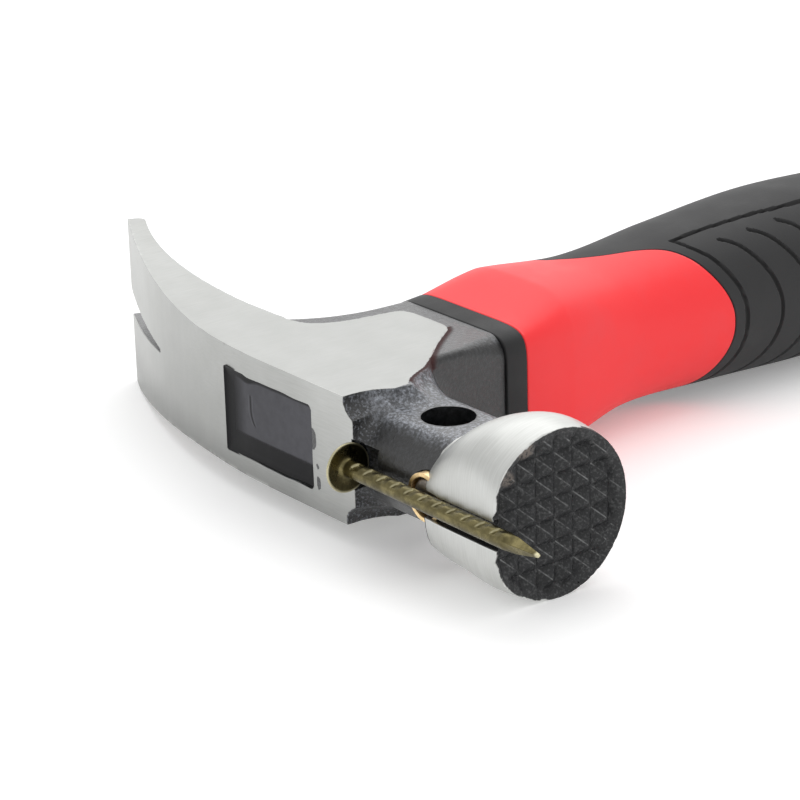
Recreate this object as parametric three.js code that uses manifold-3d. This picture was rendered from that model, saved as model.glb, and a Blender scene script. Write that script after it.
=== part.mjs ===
// Stubby claw hammer with a magnetic nail starter, lying on its side.
// Millimetres. +X points to the striking face, +Y to the butt of the handle and +Z up.
// While the pieces are made, the bell's axis is the X axis and the eye is centred on x = 0.

import * as THREE from 'three';
import { LoftGeometry } from 'three/addons/geometries/LoftGeometry.js';
import { mergeVertices } from 'three/addons/utils/BufferGeometryUtils.js';
import Module from 'manifold-3d';

const wasm = await Module();
wasm.setup();

// Striking face and bell
const FACE_DIAMETER = 25;
const FACE_REACH = 54;
const FACE_CHAMFER = 0.6;
const BELL_LENGTH = 17.6;
const BELL_BACK_DIAMETER = 17.2;
const BELL_SHOULDER_DIAMETER = 23.2;
const BELL_SHOULDER_RUN = 6.6;
const BELL_RIM_DIAMETER = 25.8;
const BELL_CANT = 5.5;
const BELL_TURN_PLACE = 0.33;
const BELL_TURN_RISE = 0.8;
const MILL_PITCH = 3.35;
const MILL_GROOVE_WIDTH = 2.9;
const MILL_GROOVE_DEPTH = 0.9;

// Neck between the bell and the eye, with the upright hole through it
const NECK_THICKNESS = 15;
const NECK_WIDTH = 18.6;
const NECK_BEVEL_WIDTH = 3.6;
const NECK_BEVEL_THICKNESS = 4.5;
const NECK_RAMP = 8;
const HOLE_DIAMETER = 8;
const HOLE_REACH = 30.4;

// Crown, the block around the eye, with flat polished cheeks
const HEAD_THICKNESS = 20;
const CROWN_FRONT = 19.5;
const CROWN_RISE = 10.4;
const GUSSET_DEPTH = 9.5;

// Claw, a curved wedge that widens towards its split tip; pulls are shares of its length
const CLAW_REACH = 64.2;
const CLAW_DROP = 17.3;
const CLAW_TIP_ANGLE = 27.5;
const CLAW_TIP_WIDTH = 28.6;
const CLAW_TIP_THICKNESS = 1.8;
const CLAW_ROOT_DEPTH = 4;
const CLAW_ROOT_RADIUS = 5;
const CLAW_BACK_PULL = 0.44;
const CLAW_TIP_PULL = 0.42;
const CLAW_INNER_TIP_PULL = 0.22;
const CLAW_INNER_ROOT_PULL = 0.42;
const CLAW_INNER_ARCH = 2.15;
const PULLER_LENGTH = 25;
const PULLER_MOUTH = 4.8;
const PULLER_END = 0.7;

// Socket, the lower end of the head that the handle comes out of
const SOCKET_FRONT = 15;
const SOCKET_BACK = 10.5;
const SOCKET_DEPTH = 23.1;
const SOCKET_CORNER = 4;

// Eye, which tapers from the top of the head to the socket's end
const EYE_LENGTH = 22.2;
const EYE_WIDTH = 13.4;
const EYE_CORNER = 1.2;
const EYE_END_LENGTH = 18.4;
const EYE_END_WIDTH = 13;
const EYE_END_OFFSET = 2.2;
const RESIN_RECESS = 0.5;
const RESIN_CAP = 2.2;

// Nail starter: a groove in the bell, a pocket in the neck and a magnet in a copper bush
const SLOT_WIDTH = 4.7;
const SLOT_FLOOR = 9.5;
const MAGNET_REACH = 37.1;
const MAGNET_DIAMETER = 5;
const MAGNET_LENGTH = 3.4;
const BUSH_DIAMETER = 7.6;
const BUSH_LENGTH = 4.2;
const BUSH_PROUD = 0.5;
const POCKET_RUN = 3;

// Nail that the starter holds
const NAIL_LENGTH = 41.6;
const NAIL_DIAMETER = 2.6;
const NAIL_HEAD_DIAMETER = 7.6;
const NAIL_HEAD_THICKNESS = 1.2;
const NAIL_HEAD_REACH = 22.4;
const NAIL_POINT_LENGTH = 6.5;
const NAIL_POINT_DIAMETER = 0.5;

// Handle: core, moulded body, collar and grip
const HANDLE_LENGTH = 132;
const CORE_LENGTH = 14;
const CORE_WIDTH = 8.6;
const CORE_CORNER = 2.5;
const CORE_OFFSET = 1.1;
const CORE_BUTT_COVER = 14;
const COLLAR_LENGTH = 2.3;
const COLLAR_WALL = 2.4;
const GRIP_WALL = 2.4;
const BUTT_ROUND = 5;

// Stations along the handle: step from the station before, centre across X, half width across X,
// half thickness across Z, and how square the section is (2 is an ellipse, more is squarer).
// The first starts at the head's end, and the last runs on to the butt.
const HANDLE_STATIONS = [
  { step: 0, centre: 2.4, halfWidth: 14.1, halfThickness: 10.5, squareness: 6 },
  { step: 4, centre: 2.2, halfWidth: 14.1, halfThickness: 10.9, squareness: 5.5 },
  { step: 10, centre: 0.6, halfWidth: 14.3, halfThickness: 13, squareness: 3.5 },
  { step: 16, centre: -1, halfWidth: 13.6, halfThickness: 12.1, squareness: 2.5 },
  { step: 21, centre: -2.7, halfWidth: 15, halfThickness: 13.3, squareness: 2.3 },
  { step: 23, centre: -3.5, halfWidth: 16.4, halfThickness: 14.6, squareness: 2.2 },
  { step: 28, centre: -3, halfWidth: 15.6, halfThickness: 13.9, squareness: 2.2 },
  { step: 30, centre: -2.2, halfWidth: 16.6, halfThickness: 14.6, squareness: 2.3 },
];

// Parting line of body and grip seen from above: across X, then along Y from the head's end.
const PARTING_LINE = [
  [30, 55],
  [10.5, 49],
  [2, 41],
  [-0.6, 32.5],
  [-7.7, 24.1],
  [-30, 17],
];

// Clearances between pieces that touch on the real tool
const FIT = 0.3;
const NAIL_FIT = 0.3;

// Facets
const ROUND_SEGMENTS = 40;
const SMALL_SEGMENTS = 20;
const HANDLE_SIDES = 32;
const HANDLE_STEP = 7.5;
const CURVE_SEGMENTS = 10;
const PARTING_SEGMENTS = 24;
const MERGE_DISTANCE = 1e-4;

// Places that follow from the sizes
const CHEEK = HEAD_THICKNESS / 2;
const BELL_BACK = FACE_REACH - BELL_LENGTH;
const MAGNET_FACE = SLOT_FLOOR + BUSH_PROUD;
const NAIL_AXIS = MAGNET_FACE + NAIL_FIT + NAIL_DIAMETER / 2;
const HANDLE_START = SOCKET_DEPTH + FIT;
const BODY_START = HANDLE_START + COLLAR_LENGTH + FIT;
const HANDLE_END = SOCKET_DEPTH + HANDLE_LENGTH;
const RESIN_TOP = RESIN_RECESS - CROWN_RISE;
const CORE_TOP = RESIN_TOP + RESIN_CAP + FIT;
const BEYOND = FACE_REACH + CLAW_REACH + HANDLE_LENGTH;

// Closed solid of a geometry, with shared points merged and faces turned outwards.
function solid(geometry) {
  const bare = new THREE.BufferGeometry().copy(geometry);
  bare.deleteAttribute('normal');
  bare.deleteAttribute('uv');
  const merged = mergeVertices(bare, MERGE_DISTANCE);
  const positions = merged.attributes.position;
  const corners = [new THREE.Vector3(), new THREE.Vector3(), new THREE.Vector3()];
  const triangles = [];
  let volume = 0;
  for (let first = 0; first < merged.index.count; first += 3) {
    const [a, b, c] = [0, 1, 2].map((corner) => merged.index.getX(first + corner));
    if (a !== b && b !== c && c !== a) {
      [a, b, c].forEach((index, corner) => corners[corner].fromBufferAttribute(positions, index));
      volume += corners[0].dot(corners[1].clone().cross(corners[2]));
      triangles.push(a, b, c);
    }
  }
  if (volume < 0) {
    triangles.reverse();
  }
  return new wasm.Manifold(new wasm.Mesh({
    numProp: 3,
    vertProperties: new Float32Array(positions.array),
    triVerts: new Uint32Array(triangles),
  }));
}

// Prism of an outline drawn across X and Y, from one height to another along Z.
function uprightPrism(outline, bottom, top) {
  const settings = { depth: top - bottom, bevelEnabled: false, curveSegments: CURVE_SEGMENTS };
  return solid(new THREE.ExtrudeGeometry(outline, settings).translate(0, 0, bottom));
}

// Prism of an outline drawn across X and Z, from one place to another along Y.
function lengthwisePrism(outline, start, end) {
  const settings = { depth: end - start, bevelEnabled: false, curveSegments: CURVE_SEGMENTS };
  return solid(new THREE.ExtrudeGeometry(outline, settings).rotateX(Math.PI / 2).translate(0, end, 0));
}

// Round bar along X, given as pairs of place and radius that start and end on the axis.
function turnedGeometry(profile, segments) {
  const points = profile.map(([place, radius]) => new THREE.Vector2(radius, place));
  return new THREE.LatheGeometry(points, segments).rotateZ(-Math.PI / 2);
}

// The same bar as a solid.
function turnedAlongX(profile, segments) {
  return solid(turnedGeometry(profile, segments));
}

// Plain cylinder along Y.
function cylinderAlongY(diameter, start, end, segments) {
  const round = new THREE.CylinderGeometry(diameter / 2, diameter / 2, end - start, segments);
  return solid(round.translate(0, (start + end) / 2, 0));
}

// Rectangle with round corners, drawn about a centre on the first axis.
function roundedRectangle(centre, length, width, corner) {
  const right = centre + length / 2;
  const left = centre - length / 2;
  const top = width / 2;
  const outline = new THREE.Shape();
  outline.moveTo(left + corner, -top);
  outline.lineTo(right - corner, -top);
  outline.absarc(right - corner, corner - top, corner, -Math.PI / 2, 0, false);
  outline.lineTo(right, top - corner);
  outline.absarc(right - corner, top - corner, corner, 0, Math.PI / 2, false);
  outline.lineTo(left + corner, top);
  outline.absarc(left + corner, top - corner, corner, Math.PI / 2, Math.PI, false);
  outline.lineTo(left, corner - top);
  outline.absarc(left + corner, corner - top, corner, Math.PI, Math.PI * 1.5, false);
  return outline;
}

// Ring of an outline drawn across X and Z, set at one place along Y, without the closing repeat.
// Rings along Y run clockwise in X and Z, so that the skin over them faces outwards.
function ringAcross(outline, y) {
  const points = outline.getPoints(CURVE_SEGMENTS / 2).slice(0, -1).reverse();
  return points.map((point) => new THREE.Vector3(point.x, y, point.y));
}

// Solid skinned over a row of rings, with flat ends.
function lofted(rings) {
  return solid(new LoftGeometry(rings, { capStart: true, capEnd: true }));
}

// Side outline of the crown and claw, with the claw curving down to its tip.
function crownOutline() {
  const tilt = THREE.MathUtils.degToRad(CLAW_TIP_ANGLE);
  const along = new THREE.Vector2(Math.cos(tilt), -Math.sin(tilt));
  const across = new THREE.Vector2(Math.sin(tilt), Math.cos(tilt));
  const tip = new THREE.Vector2(-CLAW_REACH, CLAW_DROP - CROWN_RISE);
  const innerTip = tip.clone().addScaledVector(across, CLAW_TIP_THICKNESS);
  const span = CLAW_REACH - SOCKET_BACK;
  const outerPull = tip.clone().addScaledVector(along, span * CLAW_TIP_PULL);
  const innerPull = innerTip.clone().addScaledVector(along, span * CLAW_INNER_TIP_PULL);
  const root = new THREE.Vector2(-SOCKET_BACK - CLAW_ROOT_RADIUS, CLAW_ROOT_DEPTH);
  const arch = new THREE.Vector2(root.x - span * CLAW_INNER_ROOT_PULL, root.y - CLAW_INNER_ARCH);
  const outline = new THREE.Shape();
  outline.moveTo(CROWN_FRONT, -CROWN_RISE);
  outline.lineTo(0, -CROWN_RISE);
  outline.bezierCurveTo(-span * CLAW_BACK_PULL, -CROWN_RISE, outerPull.x, outerPull.y, tip.x, tip.y);
  outline.lineTo(innerTip.x, innerTip.y);
  outline.bezierCurveTo(innerPull.x, innerPull.y, arch.x, arch.y, root.x, root.y);
  outline.quadraticCurveTo(-SOCKET_BACK, root.y, -SOCKET_BACK, root.y + CLAW_ROOT_RADIUS);
  outline.lineTo(SOCKET_FRONT, root.y + CLAW_ROOT_RADIUS);
  outline.lineTo(SOCKET_FRONT, GUSSET_DEPTH);
  outline.lineTo(CROWN_FRONT, 0);
  outline.closePath();
  return outline;
}

// Outline of crown and claw from above: straight cheeks, then spreading to the claw's tip.
function spreadOutline() {
  const spreadStart = -SOCKET_BACK - CLAW_ROOT_RADIUS;
  const spreadEnd = 2 * CLAW_TIP_THICKNESS - CLAW_REACH;
  const tipHalf = CLAW_TIP_WIDTH / 2;
  const pull = (spreadStart + spreadEnd) / 2 + CLAW_ROOT_RADIUS;
  const past = -BEYOND;
  const outline = new THREE.Shape();
  outline.moveTo(BEYOND, -CHEEK);
  outline.lineTo(BEYOND, CHEEK);
  outline.lineTo(spreadStart, CHEEK);
  outline.quadraticCurveTo(pull, CHEEK, spreadEnd, tipHalf);
  outline.lineTo(past, tipHalf);
  outline.lineTo(past, -tipHalf);
  outline.lineTo(spreadEnd, -tipHalf);
  outline.quadraticCurveTo(pull, -CHEEK, spreadStart, -CHEEK);
  outline.closePath();
  return outline;
}

function crownAndClaw() {
  const side = uprightPrism(crownOutline(), -CLAW_TIP_WIDTH, CLAW_TIP_WIDTH);
  return side.intersect(lengthwisePrism(spreadOutline(), -BEYOND, BEYOND));
}

function socketBlock() {
  const centre = (SOCKET_FRONT - SOCKET_BACK) / 2;
  const outline = roundedRectangle(centre, SOCKET_FRONT + SOCKET_BACK, HEAD_THICKNESS, SOCKET_CORNER);
  return lengthwisePrism(outline, 0, SOCKET_DEPTH);
}

// Eight-sided ring of the neck at one place along X.
function neckRing(x, halfWidth, halfThickness) {
  const flatY = halfWidth - NECK_BEVEL_WIDTH;
  const flatZ = halfThickness - NECK_BEVEL_THICKNESS;
  const corners = [
    [flatY, halfThickness], [-flatY, halfThickness], [-halfWidth, flatZ], [-halfWidth, -flatZ],
    [-flatY, -halfThickness], [flatY, -halfThickness], [halfWidth, -flatZ], [halfWidth, flatZ],
  ];
  return corners.map(([y, z]) => new THREE.Vector3(x, y, z));
}

function neckBar() {
  const halfWidth = NECK_WIDTH / 2;
  const halfThickness = NECK_THICKNESS / 2;
  return lofted([
    neckRing(CROWN_FRONT - NECK_RAMP, CROWN_RISE - FIT, CHEEK - FIT),
    neckRing(CROWN_FRONT - FIT, CROWN_RISE - FIT, CHEEK - FIT),
    neckRing(CROWN_FRONT + NECK_RAMP, halfWidth, halfThickness),
    neckRing(BELL_BACK + BELL_SHOULDER_RUN, halfWidth, halfThickness),
  ]);
}

// Bell, whose axis is canted towards the handle while its face stays square to X.
function bell() {
  const backRadius = BELL_BACK_DIAMETER / 2;
  const shoulderRadius = BELL_SHOULDER_DIAMETER / 2;
  const rimRadius = BELL_RIM_DIAMETER / 2;
  const shoulder = BELL_BACK + BELL_SHOULDER_RUN;
  const rim = FACE_REACH - FACE_CHAMFER;
  const turn = THREE.MathUtils.lerp(backRadius, shoulderRadius, BELL_TURN_RISE);
  const turnPlace = BELL_BACK + BELL_SHOULDER_RUN * BELL_TURN_PLACE;
  const profile = new THREE.Path();
  profile.moveTo(BELL_BACK, 0);
  profile.lineTo(BELL_BACK, backRadius);
  profile.quadraticCurveTo(turnPlace, turn, shoulder, shoulderRadius);
  profile.quadraticCurveTo((shoulder + rim) / 2, rimRadius, rim, rimRadius);
  profile.lineTo(FACE_REACH, FACE_DIAMETER / 2);
  profile.lineTo(FACE_REACH, 0);
  const points = profile.getPoints(SMALL_SEGMENTS / 4);
  const geometry = turnedGeometry(points.map((point) => [point.x, point.y]), ROUND_SEGMENTS);
  const cant = Math.tan(THREE.MathUtils.degToRad(BELL_CANT));
  geometry.translate(-FACE_REACH, 0, 0);
  geometry.applyMatrix4(new THREE.Matrix4().makeShear(cant, 0, 0, 0, 0, 0));
  return solid(geometry.translate(FACE_REACH, 0, 0));
}

// Crossed grooves that leave rows of square points on the striking face.
function millGrooves() {
  const length = FACE_DIAMETER;
  const rows = Math.ceil(FACE_DIAMETER / MILL_PITCH / 2);
  const notch = new THREE.Shape();
  notch.moveTo(FACE_REACH - MILL_GROOVE_DEPTH, 0);
  notch.lineTo(FACE_REACH + MILL_GROOVE_DEPTH, MILL_GROOVE_WIDTH);
  notch.lineTo(FACE_REACH + MILL_GROOVE_DEPTH, -MILL_GROOVE_WIDTH);
  notch.closePath();
  const upright = uprightPrism(notch, -length, length);
  const level = lengthwisePrism(notch, -length, length);
  const grooves = [];
  for (let row = -rows; row <= rows; row += 1) {
    grooves.push(upright.translate([0, row * MILL_PITCH, 0]));
    grooves.push(level.translate([0, 0, row * MILL_PITCH]));
  }
  return grooves;
}

// Tapered opening through the head, drawn in by a clearance.
function eyeSolid(inset, start, end) {
  const ringAt = (y) => {
    const share = (y + CROWN_RISE) / (SOCKET_DEPTH + CROWN_RISE);
    const length = THREE.MathUtils.lerp(EYE_LENGTH, EYE_END_LENGTH, share) - 2 * inset;
    const width = THREE.MathUtils.lerp(EYE_WIDTH, EYE_END_WIDTH, share) - 2 * inset;
    return ringAcross(roundedRectangle(EYE_END_OFFSET * share, length, width, EYE_CORNER), y);
  };
  return lofted([ringAt(start), ringAt(end)]);
}

// V-shaped slot in the claw's tip, which grips a nail to pull it.
function pullerSlot() {
  const mouth = PULLER_MOUTH / 2;
  const end = PULLER_END / 2;
  const apex = PULLER_LENGTH - CLAW_REACH;
  const flare = (mouth - end) / PULLER_LENGTH;
  const past = PULLER_MOUTH;
  const outline = new THREE.Shape();
  outline.moveTo(apex, -end);
  outline.lineTo(apex, end);
  outline.lineTo(-CLAW_REACH - past, mouth + flare * past);
  outline.lineTo(-CLAW_REACH - past, -mouth - flare * past);
  outline.closePath();
  return lengthwisePrism(outline, -BEYOND, BEYOND);
}

// Groove along the near side of the bell that the nail lies in.
function starterSlot() {
  const outline = new THREE.Shape();
  outline.moveTo(BELL_BACK - FIT, -SLOT_WIDTH / 2);
  outline.lineTo(BELL_BACK - FIT, SLOT_WIDTH / 2);
  outline.lineTo(BEYOND, SLOT_WIDTH / 2);
  outline.lineTo(BEYOND, -SLOT_WIDTH / 2);
  outline.closePath();
  return lengthwisePrism(outline, -BEYOND, -SLOT_FLOOR);
}

// Half-round pocket in the neck beside the crown for the nail's head, open towards the near side.
function headPocket() {
  const radius = NAIL_HEAD_DIAMETER / 2 + NAIL_FIT;
  const back = NAIL_HEAD_REACH - NAIL_HEAD_THICKNESS - NAIL_FIT;
  const front = NAIL_HEAD_REACH + POCKET_RUN;
  const round = turnedAlongX([[back, 0], [back, radius], [front, radius], [front, 0]], ROUND_SEGMENTS);
  return round.translate([0, -NAIL_AXIS, 0]);
}

// One forging: claw, crown, socket, neck and bell, with every opening cut in it.
function head() {
  const forging = crownAndClaw().add(socketBlock()).add(neckBar()).add(bell());
  const hole = cylinderAlongY(HOLE_DIAMETER, -BEYOND, BEYOND, ROUND_SEGMENTS).rotate([90, 0, 0]);
  const seatEnd = BUSH_LENGTH + FIT - MAGNET_FACE;
  const bushSeat = cylinderAlongY(BUSH_DIAMETER + 2 * FIT, -BEYOND, seatEnd, ROUND_SEGMENTS);
  const cuts = [
    eyeSolid(0, -CROWN_RISE - FIT, SOCKET_DEPTH + FIT),
    pullerSlot(),
    starterSlot(),
    headPocket(),
    hole.translate([HOLE_REACH, 0, 0]),
    bushSeat.translate([MAGNET_REACH, 0, 0]),
    ...millGrooves(),
  ];
  return cuts.reduce((body, cut) => body.subtract(cut), forging);
}

// Copper cup pressed into the neck, open towards the nail.
function magnetBush() {
  const cup = cylinderAlongY(BUSH_DIAMETER, -MAGNET_FACE, BUSH_LENGTH - MAGNET_FACE, ROUND_SEGMENTS);
  const boreEnd = MAGNET_LENGTH + 2 * FIT - MAGNET_FACE;
  const bore = cylinderAlongY(MAGNET_DIAMETER + 2 * FIT, -BEYOND, boreEnd, ROUND_SEGMENTS);
  return cup.subtract(bore).translate([MAGNET_REACH, 0, 0]);
}

function magnet() {
  const start = FIT - MAGNET_FACE;
  const disc = cylinderAlongY(MAGNET_DIAMETER, start, start + MAGNET_LENGTH, ROUND_SEGMENTS);
  return disc.translate([MAGNET_REACH, 0, 0]);
}

function nail() {
  const shank = NAIL_DIAMETER / 2;
  const headRadius = NAIL_HEAD_DIAMETER / 2;
  const back = NAIL_HEAD_REACH - NAIL_HEAD_THICKNESS;
  const tip = NAIL_HEAD_REACH + NAIL_LENGTH;
  const profile = [
    [back, 0],
    [back, headRadius],
    [NAIL_HEAD_REACH - NAIL_HEAD_THICKNESS / 2, headRadius],
    [NAIL_HEAD_REACH, shank + NAIL_HEAD_THICKNESS / 2],
    [NAIL_HEAD_REACH + NAIL_HEAD_THICKNESS / 2, shank],
    [tip - NAIL_POINT_LENGTH, shank],
    [tip, NAIL_POINT_DIAMETER / 2],
    [tip, 0],
  ];
  return turnedAlongX(profile, SMALL_SEGMENTS).translate([0, -NAIL_AXIS, 0]);
}

function coreBar(growth, start, end) {
  const length = CORE_LENGTH + 2 * growth;
  const width = CORE_WIDTH + 2 * growth;
  return lengthwisePrism(roundedRectangle(CORE_OFFSET, length, width, CORE_CORNER), start, end);
}

function handleCore() {
  return coreBar(0, CORE_TOP, HANDLE_END - CORE_BUTT_COVER);
}

// Resin that fills the eye around the core and covers the core's top end.
function eyeResin() {
  const filling = eyeSolid(FIT, RESIN_TOP, SOCKET_DEPTH - FIT);
  return filling.subtract(coreBar(FIT, CORE_TOP - FIT, BEYOND));
}

// Smooth run of the handle's section along Y through its stations.
const handleRun = (() => {
  const places = [];
  const values = [];
  let place = SOCKET_DEPTH;
  HANDLE_STATIONS.forEach(({ step, centre, halfWidth, halfThickness, squareness }) => {
    place += step;
    places.push(place);
    values.push(centre, halfWidth, halfThickness, squareness);
  });
  return new THREE.CubicInterpolant(places, values, 4);
})();

// Ring of the handle at one place along Y, drawn in by an inset.
function handleRing(y, inset) {
  const [centre, halfWidth, halfThickness, squareness] = handleRun.evaluate(y);
  const bend = (value) => Math.sign(value) * Math.abs(value) ** (2 / squareness);
  const ring = [];
  for (let side = 0; side < HANDLE_SIDES; side += 1) {
    const angle = (-side / HANDLE_SIDES) * 2 * Math.PI;
    const x = centre + (halfWidth - inset) * bend(Math.cos(angle));
    ring.push(new THREE.Vector3(x, y, (halfThickness - inset) * bend(Math.sin(angle))));
  }
  return ring;
}

// Stretch of the handle's outer form, drawn in by an inset, with a rounded butt where asked.
function handleStretch(start, end, inset, buttRound) {
  const straight = end - buttRound;
  const steps = Math.ceil((straight - start) / HANDLE_STEP);
  const rings = [];
  for (let step = 0; step <= steps; step += 1) {
    rings.push(handleRing(start + ((straight - start) * step) / steps, inset));
  }
  const turns = buttRound > 0 ? SMALL_SEGMENTS / 4 : 0;
  for (let turn = 1; turn <= turns; turn += 1) {
    const angle = (turn / turns) * (Math.PI / 2);
    const drawIn = buttRound * (1 - Math.cos(angle));
    rings.push(handleRing(straight + buttRound * Math.sin(angle), inset + drawIn));
  }
  return lofted(rings);
}

// Everything on the head's side of the parting line, moved along the handle by a shift.
function headSideOfParting(shift) {
  const points = PARTING_LINE.map(([x, y]) => new THREE.Vector2(x, SOCKET_DEPTH + y + shift));
  const outline = new THREE.Shape();
  outline.moveTo(points[points.length - 1].x, -BEYOND);
  outline.lineTo(points[0].x, -BEYOND);
  const line = new THREE.SplineCurve(points).getPoints(PARTING_SEGMENTS);
  line.forEach((point) => outline.lineTo(point.x, point.y));
  outline.closePath();
  return uprightPrism(outline, -CLAW_TIP_WIDTH, CLAW_TIP_WIDTH);
}

// Spigot at the head's end, drawn in by the collar's wall.
function spigot(inset) {
  return handleStretch(HANDLE_START, BODY_START + FIT, inset, 0);
}

// Moulded body: spigot under the collar, full section up to the parting line, slimmer under the grip.
function handleBody() {
  const under = GRIP_WALL + FIT;
  const shown = handleStretch(BODY_START, HANDLE_END - BUTT_ROUND, 0, 0).intersect(headSideOfParting(0));
  const covered = handleStretch(BODY_START, HANDLE_END - under, under, BUTT_ROUND - GRIP_WALL);
  const whole = spigot(COLLAR_WALL + FIT).add(shown).add(covered);
  return whole.subtract(coreBar(FIT, -BEYOND, HANDLE_END - CORE_BUTT_COVER + FIT));
}

function collar() {
  const outside = handleStretch(HANDLE_START, HANDLE_START + COLLAR_LENGTH, 0, 0);
  return outside.subtract(handleStretch(SOCKET_DEPTH, BODY_START, COLLAR_WALL, 0));
}

function grip() {
  const outside = handleStretch(BODY_START, HANDLE_END, 0, BUTT_ROUND);
  const inside = handleStretch(SOCKET_DEPTH, HANDLE_END - GRIP_WALL, GRIP_WALL, BUTT_ROUND - GRIP_WALL);
  return outside.subtract(headSideOfParting(FIT)).subtract(inside);
}

const forgedSteel = new THREE.MeshStandardMaterial({ color: 0xb9bab8, roughness: 0.35, metalness: 1 });
const epoxyResin = new THREE.MeshStandardMaterial({ color: 0x2d2d31, roughness: 0.1, metalness: 0 });
const glassFibre = new THREE.MeshStandardMaterial({ color: 0xd8cf9a, roughness: 0.6, metalness: 0 });
const redPlastic = new THREE.MeshStandardMaterial({ color: 0xf03a40, roughness: 0.5, metalness: 0 });
const blackPlastic = new THREE.MeshStandardMaterial({ color: 0x2b2b2d, roughness: 0.55, metalness: 0 });
const gripRubber = new THREE.MeshStandardMaterial({ color: 0x3a3a3c, roughness: 0.75, metalness: 0 });
const copper = new THREE.MeshStandardMaterial({ color: 0xd9a25f, roughness: 0.35, metalness: 1 });
const magnetSteel = new THREE.MeshStandardMaterial({ color: 0x8c8780, roughness: 0.4, metalness: 1 });
const yellowZinc = new THREE.MeshStandardMaterial({ color: 0x8a8048, roughness: 0.35, metalness: 1 });

// Named mesh of a finished solid.
function piece(name, body, material) {
  const { vertProperties, triVerts } = body.getMesh();
  const geometry = new THREE.BufferGeometry();
  geometry.setAttribute('position', new THREE.BufferAttribute(vertProperties, 3));
  geometry.setIndex(new THREE.BufferAttribute(triVerts, 1));
  geometry.computeVertexNormals();
  const mesh = new THREE.Mesh(geometry, material);
  mesh.name = name;
  return mesh;
}

const tool = new THREE.Group();
tool.add(piece('head', head(), forgedSteel));
tool.add(piece('eye_resin', eyeResin(), epoxyResin));
tool.add(piece('handle_core', handleCore(), glassFibre));
tool.add(piece('handle_body', handleBody(), redPlastic));
tool.add(piece('collar', collar(), blackPlastic));
tool.add(piece('grip', grip(), gripRubber));
tool.add(piece('magnet_bush', magnetBush(), copper));
tool.add(piece('magnet', magnet(), magnetSteel));
tool.add(piece('nail', nail(), yellowZinc));

// The origin is under the middle of the tool, at the height of its lowest point.
const extent = new THREE.Box3().setFromObject(tool);
const middle = extent.getCenter(new THREE.Vector3());
tool.position.set(-middle.x, -middle.y, -extent.min.z);

const hammer = new THREE.Group();
hammer.add(tool);

export default hammer;
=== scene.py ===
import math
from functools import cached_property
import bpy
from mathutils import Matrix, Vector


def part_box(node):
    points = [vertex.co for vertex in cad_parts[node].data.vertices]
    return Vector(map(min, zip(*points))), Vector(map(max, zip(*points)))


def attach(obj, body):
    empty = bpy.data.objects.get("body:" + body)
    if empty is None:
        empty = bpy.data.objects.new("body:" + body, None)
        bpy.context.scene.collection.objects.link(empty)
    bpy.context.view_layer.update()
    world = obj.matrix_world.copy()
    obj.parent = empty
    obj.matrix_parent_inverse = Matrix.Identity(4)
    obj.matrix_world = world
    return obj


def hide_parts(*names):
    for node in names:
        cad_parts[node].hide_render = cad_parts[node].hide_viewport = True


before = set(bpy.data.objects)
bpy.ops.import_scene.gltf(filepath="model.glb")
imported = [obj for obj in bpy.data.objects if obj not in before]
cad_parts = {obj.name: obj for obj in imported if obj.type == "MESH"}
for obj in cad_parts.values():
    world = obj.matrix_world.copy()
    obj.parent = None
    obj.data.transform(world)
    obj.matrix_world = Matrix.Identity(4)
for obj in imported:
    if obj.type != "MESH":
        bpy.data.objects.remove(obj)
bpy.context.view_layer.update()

# Looks of a stubby claw hammer that lies on its side with a nail in its starter.
# Shapes are worked out in millimetres in the hammer's own axes: X along the bell to the striking face,
# with 0 at the middle of the eye, Y down the handle with 0 on the bell's axis, Z up from the middle plane.

from types import SimpleNamespace

import bpy
import numpy as np
from bpy.props import FloatProperty, FloatVectorProperty, PointerProperty
from bpy.types import Operator, Panel, PropertyGroup
from mathutils import Matrix, Vector

bl_info = {
    "name": "Stubby Claw Hammer",
    "version": (1, 0, 0),
    "blender": (4, 5, 0),
    "location": "View3D > Sidebar > Hammer",
    "description": "Builds the finished pieces of a stubby claw hammer around its packed solids",
    "category": "Add Mesh",
}

MM = 0.001
FACE_REACH = 54.0
SOCKET_DEPTH = 23.1
HEAD_LOW, HEAD_HIGH = (np.array(corner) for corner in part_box("head"))
ORIGIN = np.array([
    HEAD_HIGH[0] - FACE_REACH * MM,
    HEAD_HIGH[1] - SOCKET_DEPTH * MM,
    (HEAD_LOW[2] + HEAD_HIGH[2]) / 2,
])


def node_box(node):
    """Lowest and highest corner of a CAD node, in the hammer's millimetres."""
    return [(np.array(corner) - ORIGIN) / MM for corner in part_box(node)]


NAIL_LOW, NAIL_HIGH = node_box("nail")
BUSH_LOW, BUSH_HIGH = node_box("magnet_bush")
MAGNET_LOW, MAGNET_HIGH = node_box("magnet")
COLLAR_LOW, COLLAR_HIGH = node_box("collar")
BODY_END = node_box("handle_body")[1][1]
GRIP_END = node_box("grip")[1][1]


# Settings that a user can change

def length(name, description, millimetres):
    """Length property with its default given in millimetres."""
    return FloatProperty(name=name, description=description, default=millimetres * MM, unit="LENGTH",
                         precision=5)


def linear(code):
    """Linear colour of an sRGB hex code: each channel follows the sRGB curve."""
    channels = [int(code[first:first + 2], 16) / 255 for first in (1, 3, 5)]
    return [c / 12.92 if c <= 0.04045 else ((c + 0.055) / 1.055) ** 2.4 for c in channels]


def hue(name, description, code):
    """Colour property with its default given as an sRGB hex code."""
    return FloatVectorProperty(name=name, description=description, default=linear(code), subtype="COLOR",
                               size=3, min=0, max=1)


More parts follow.
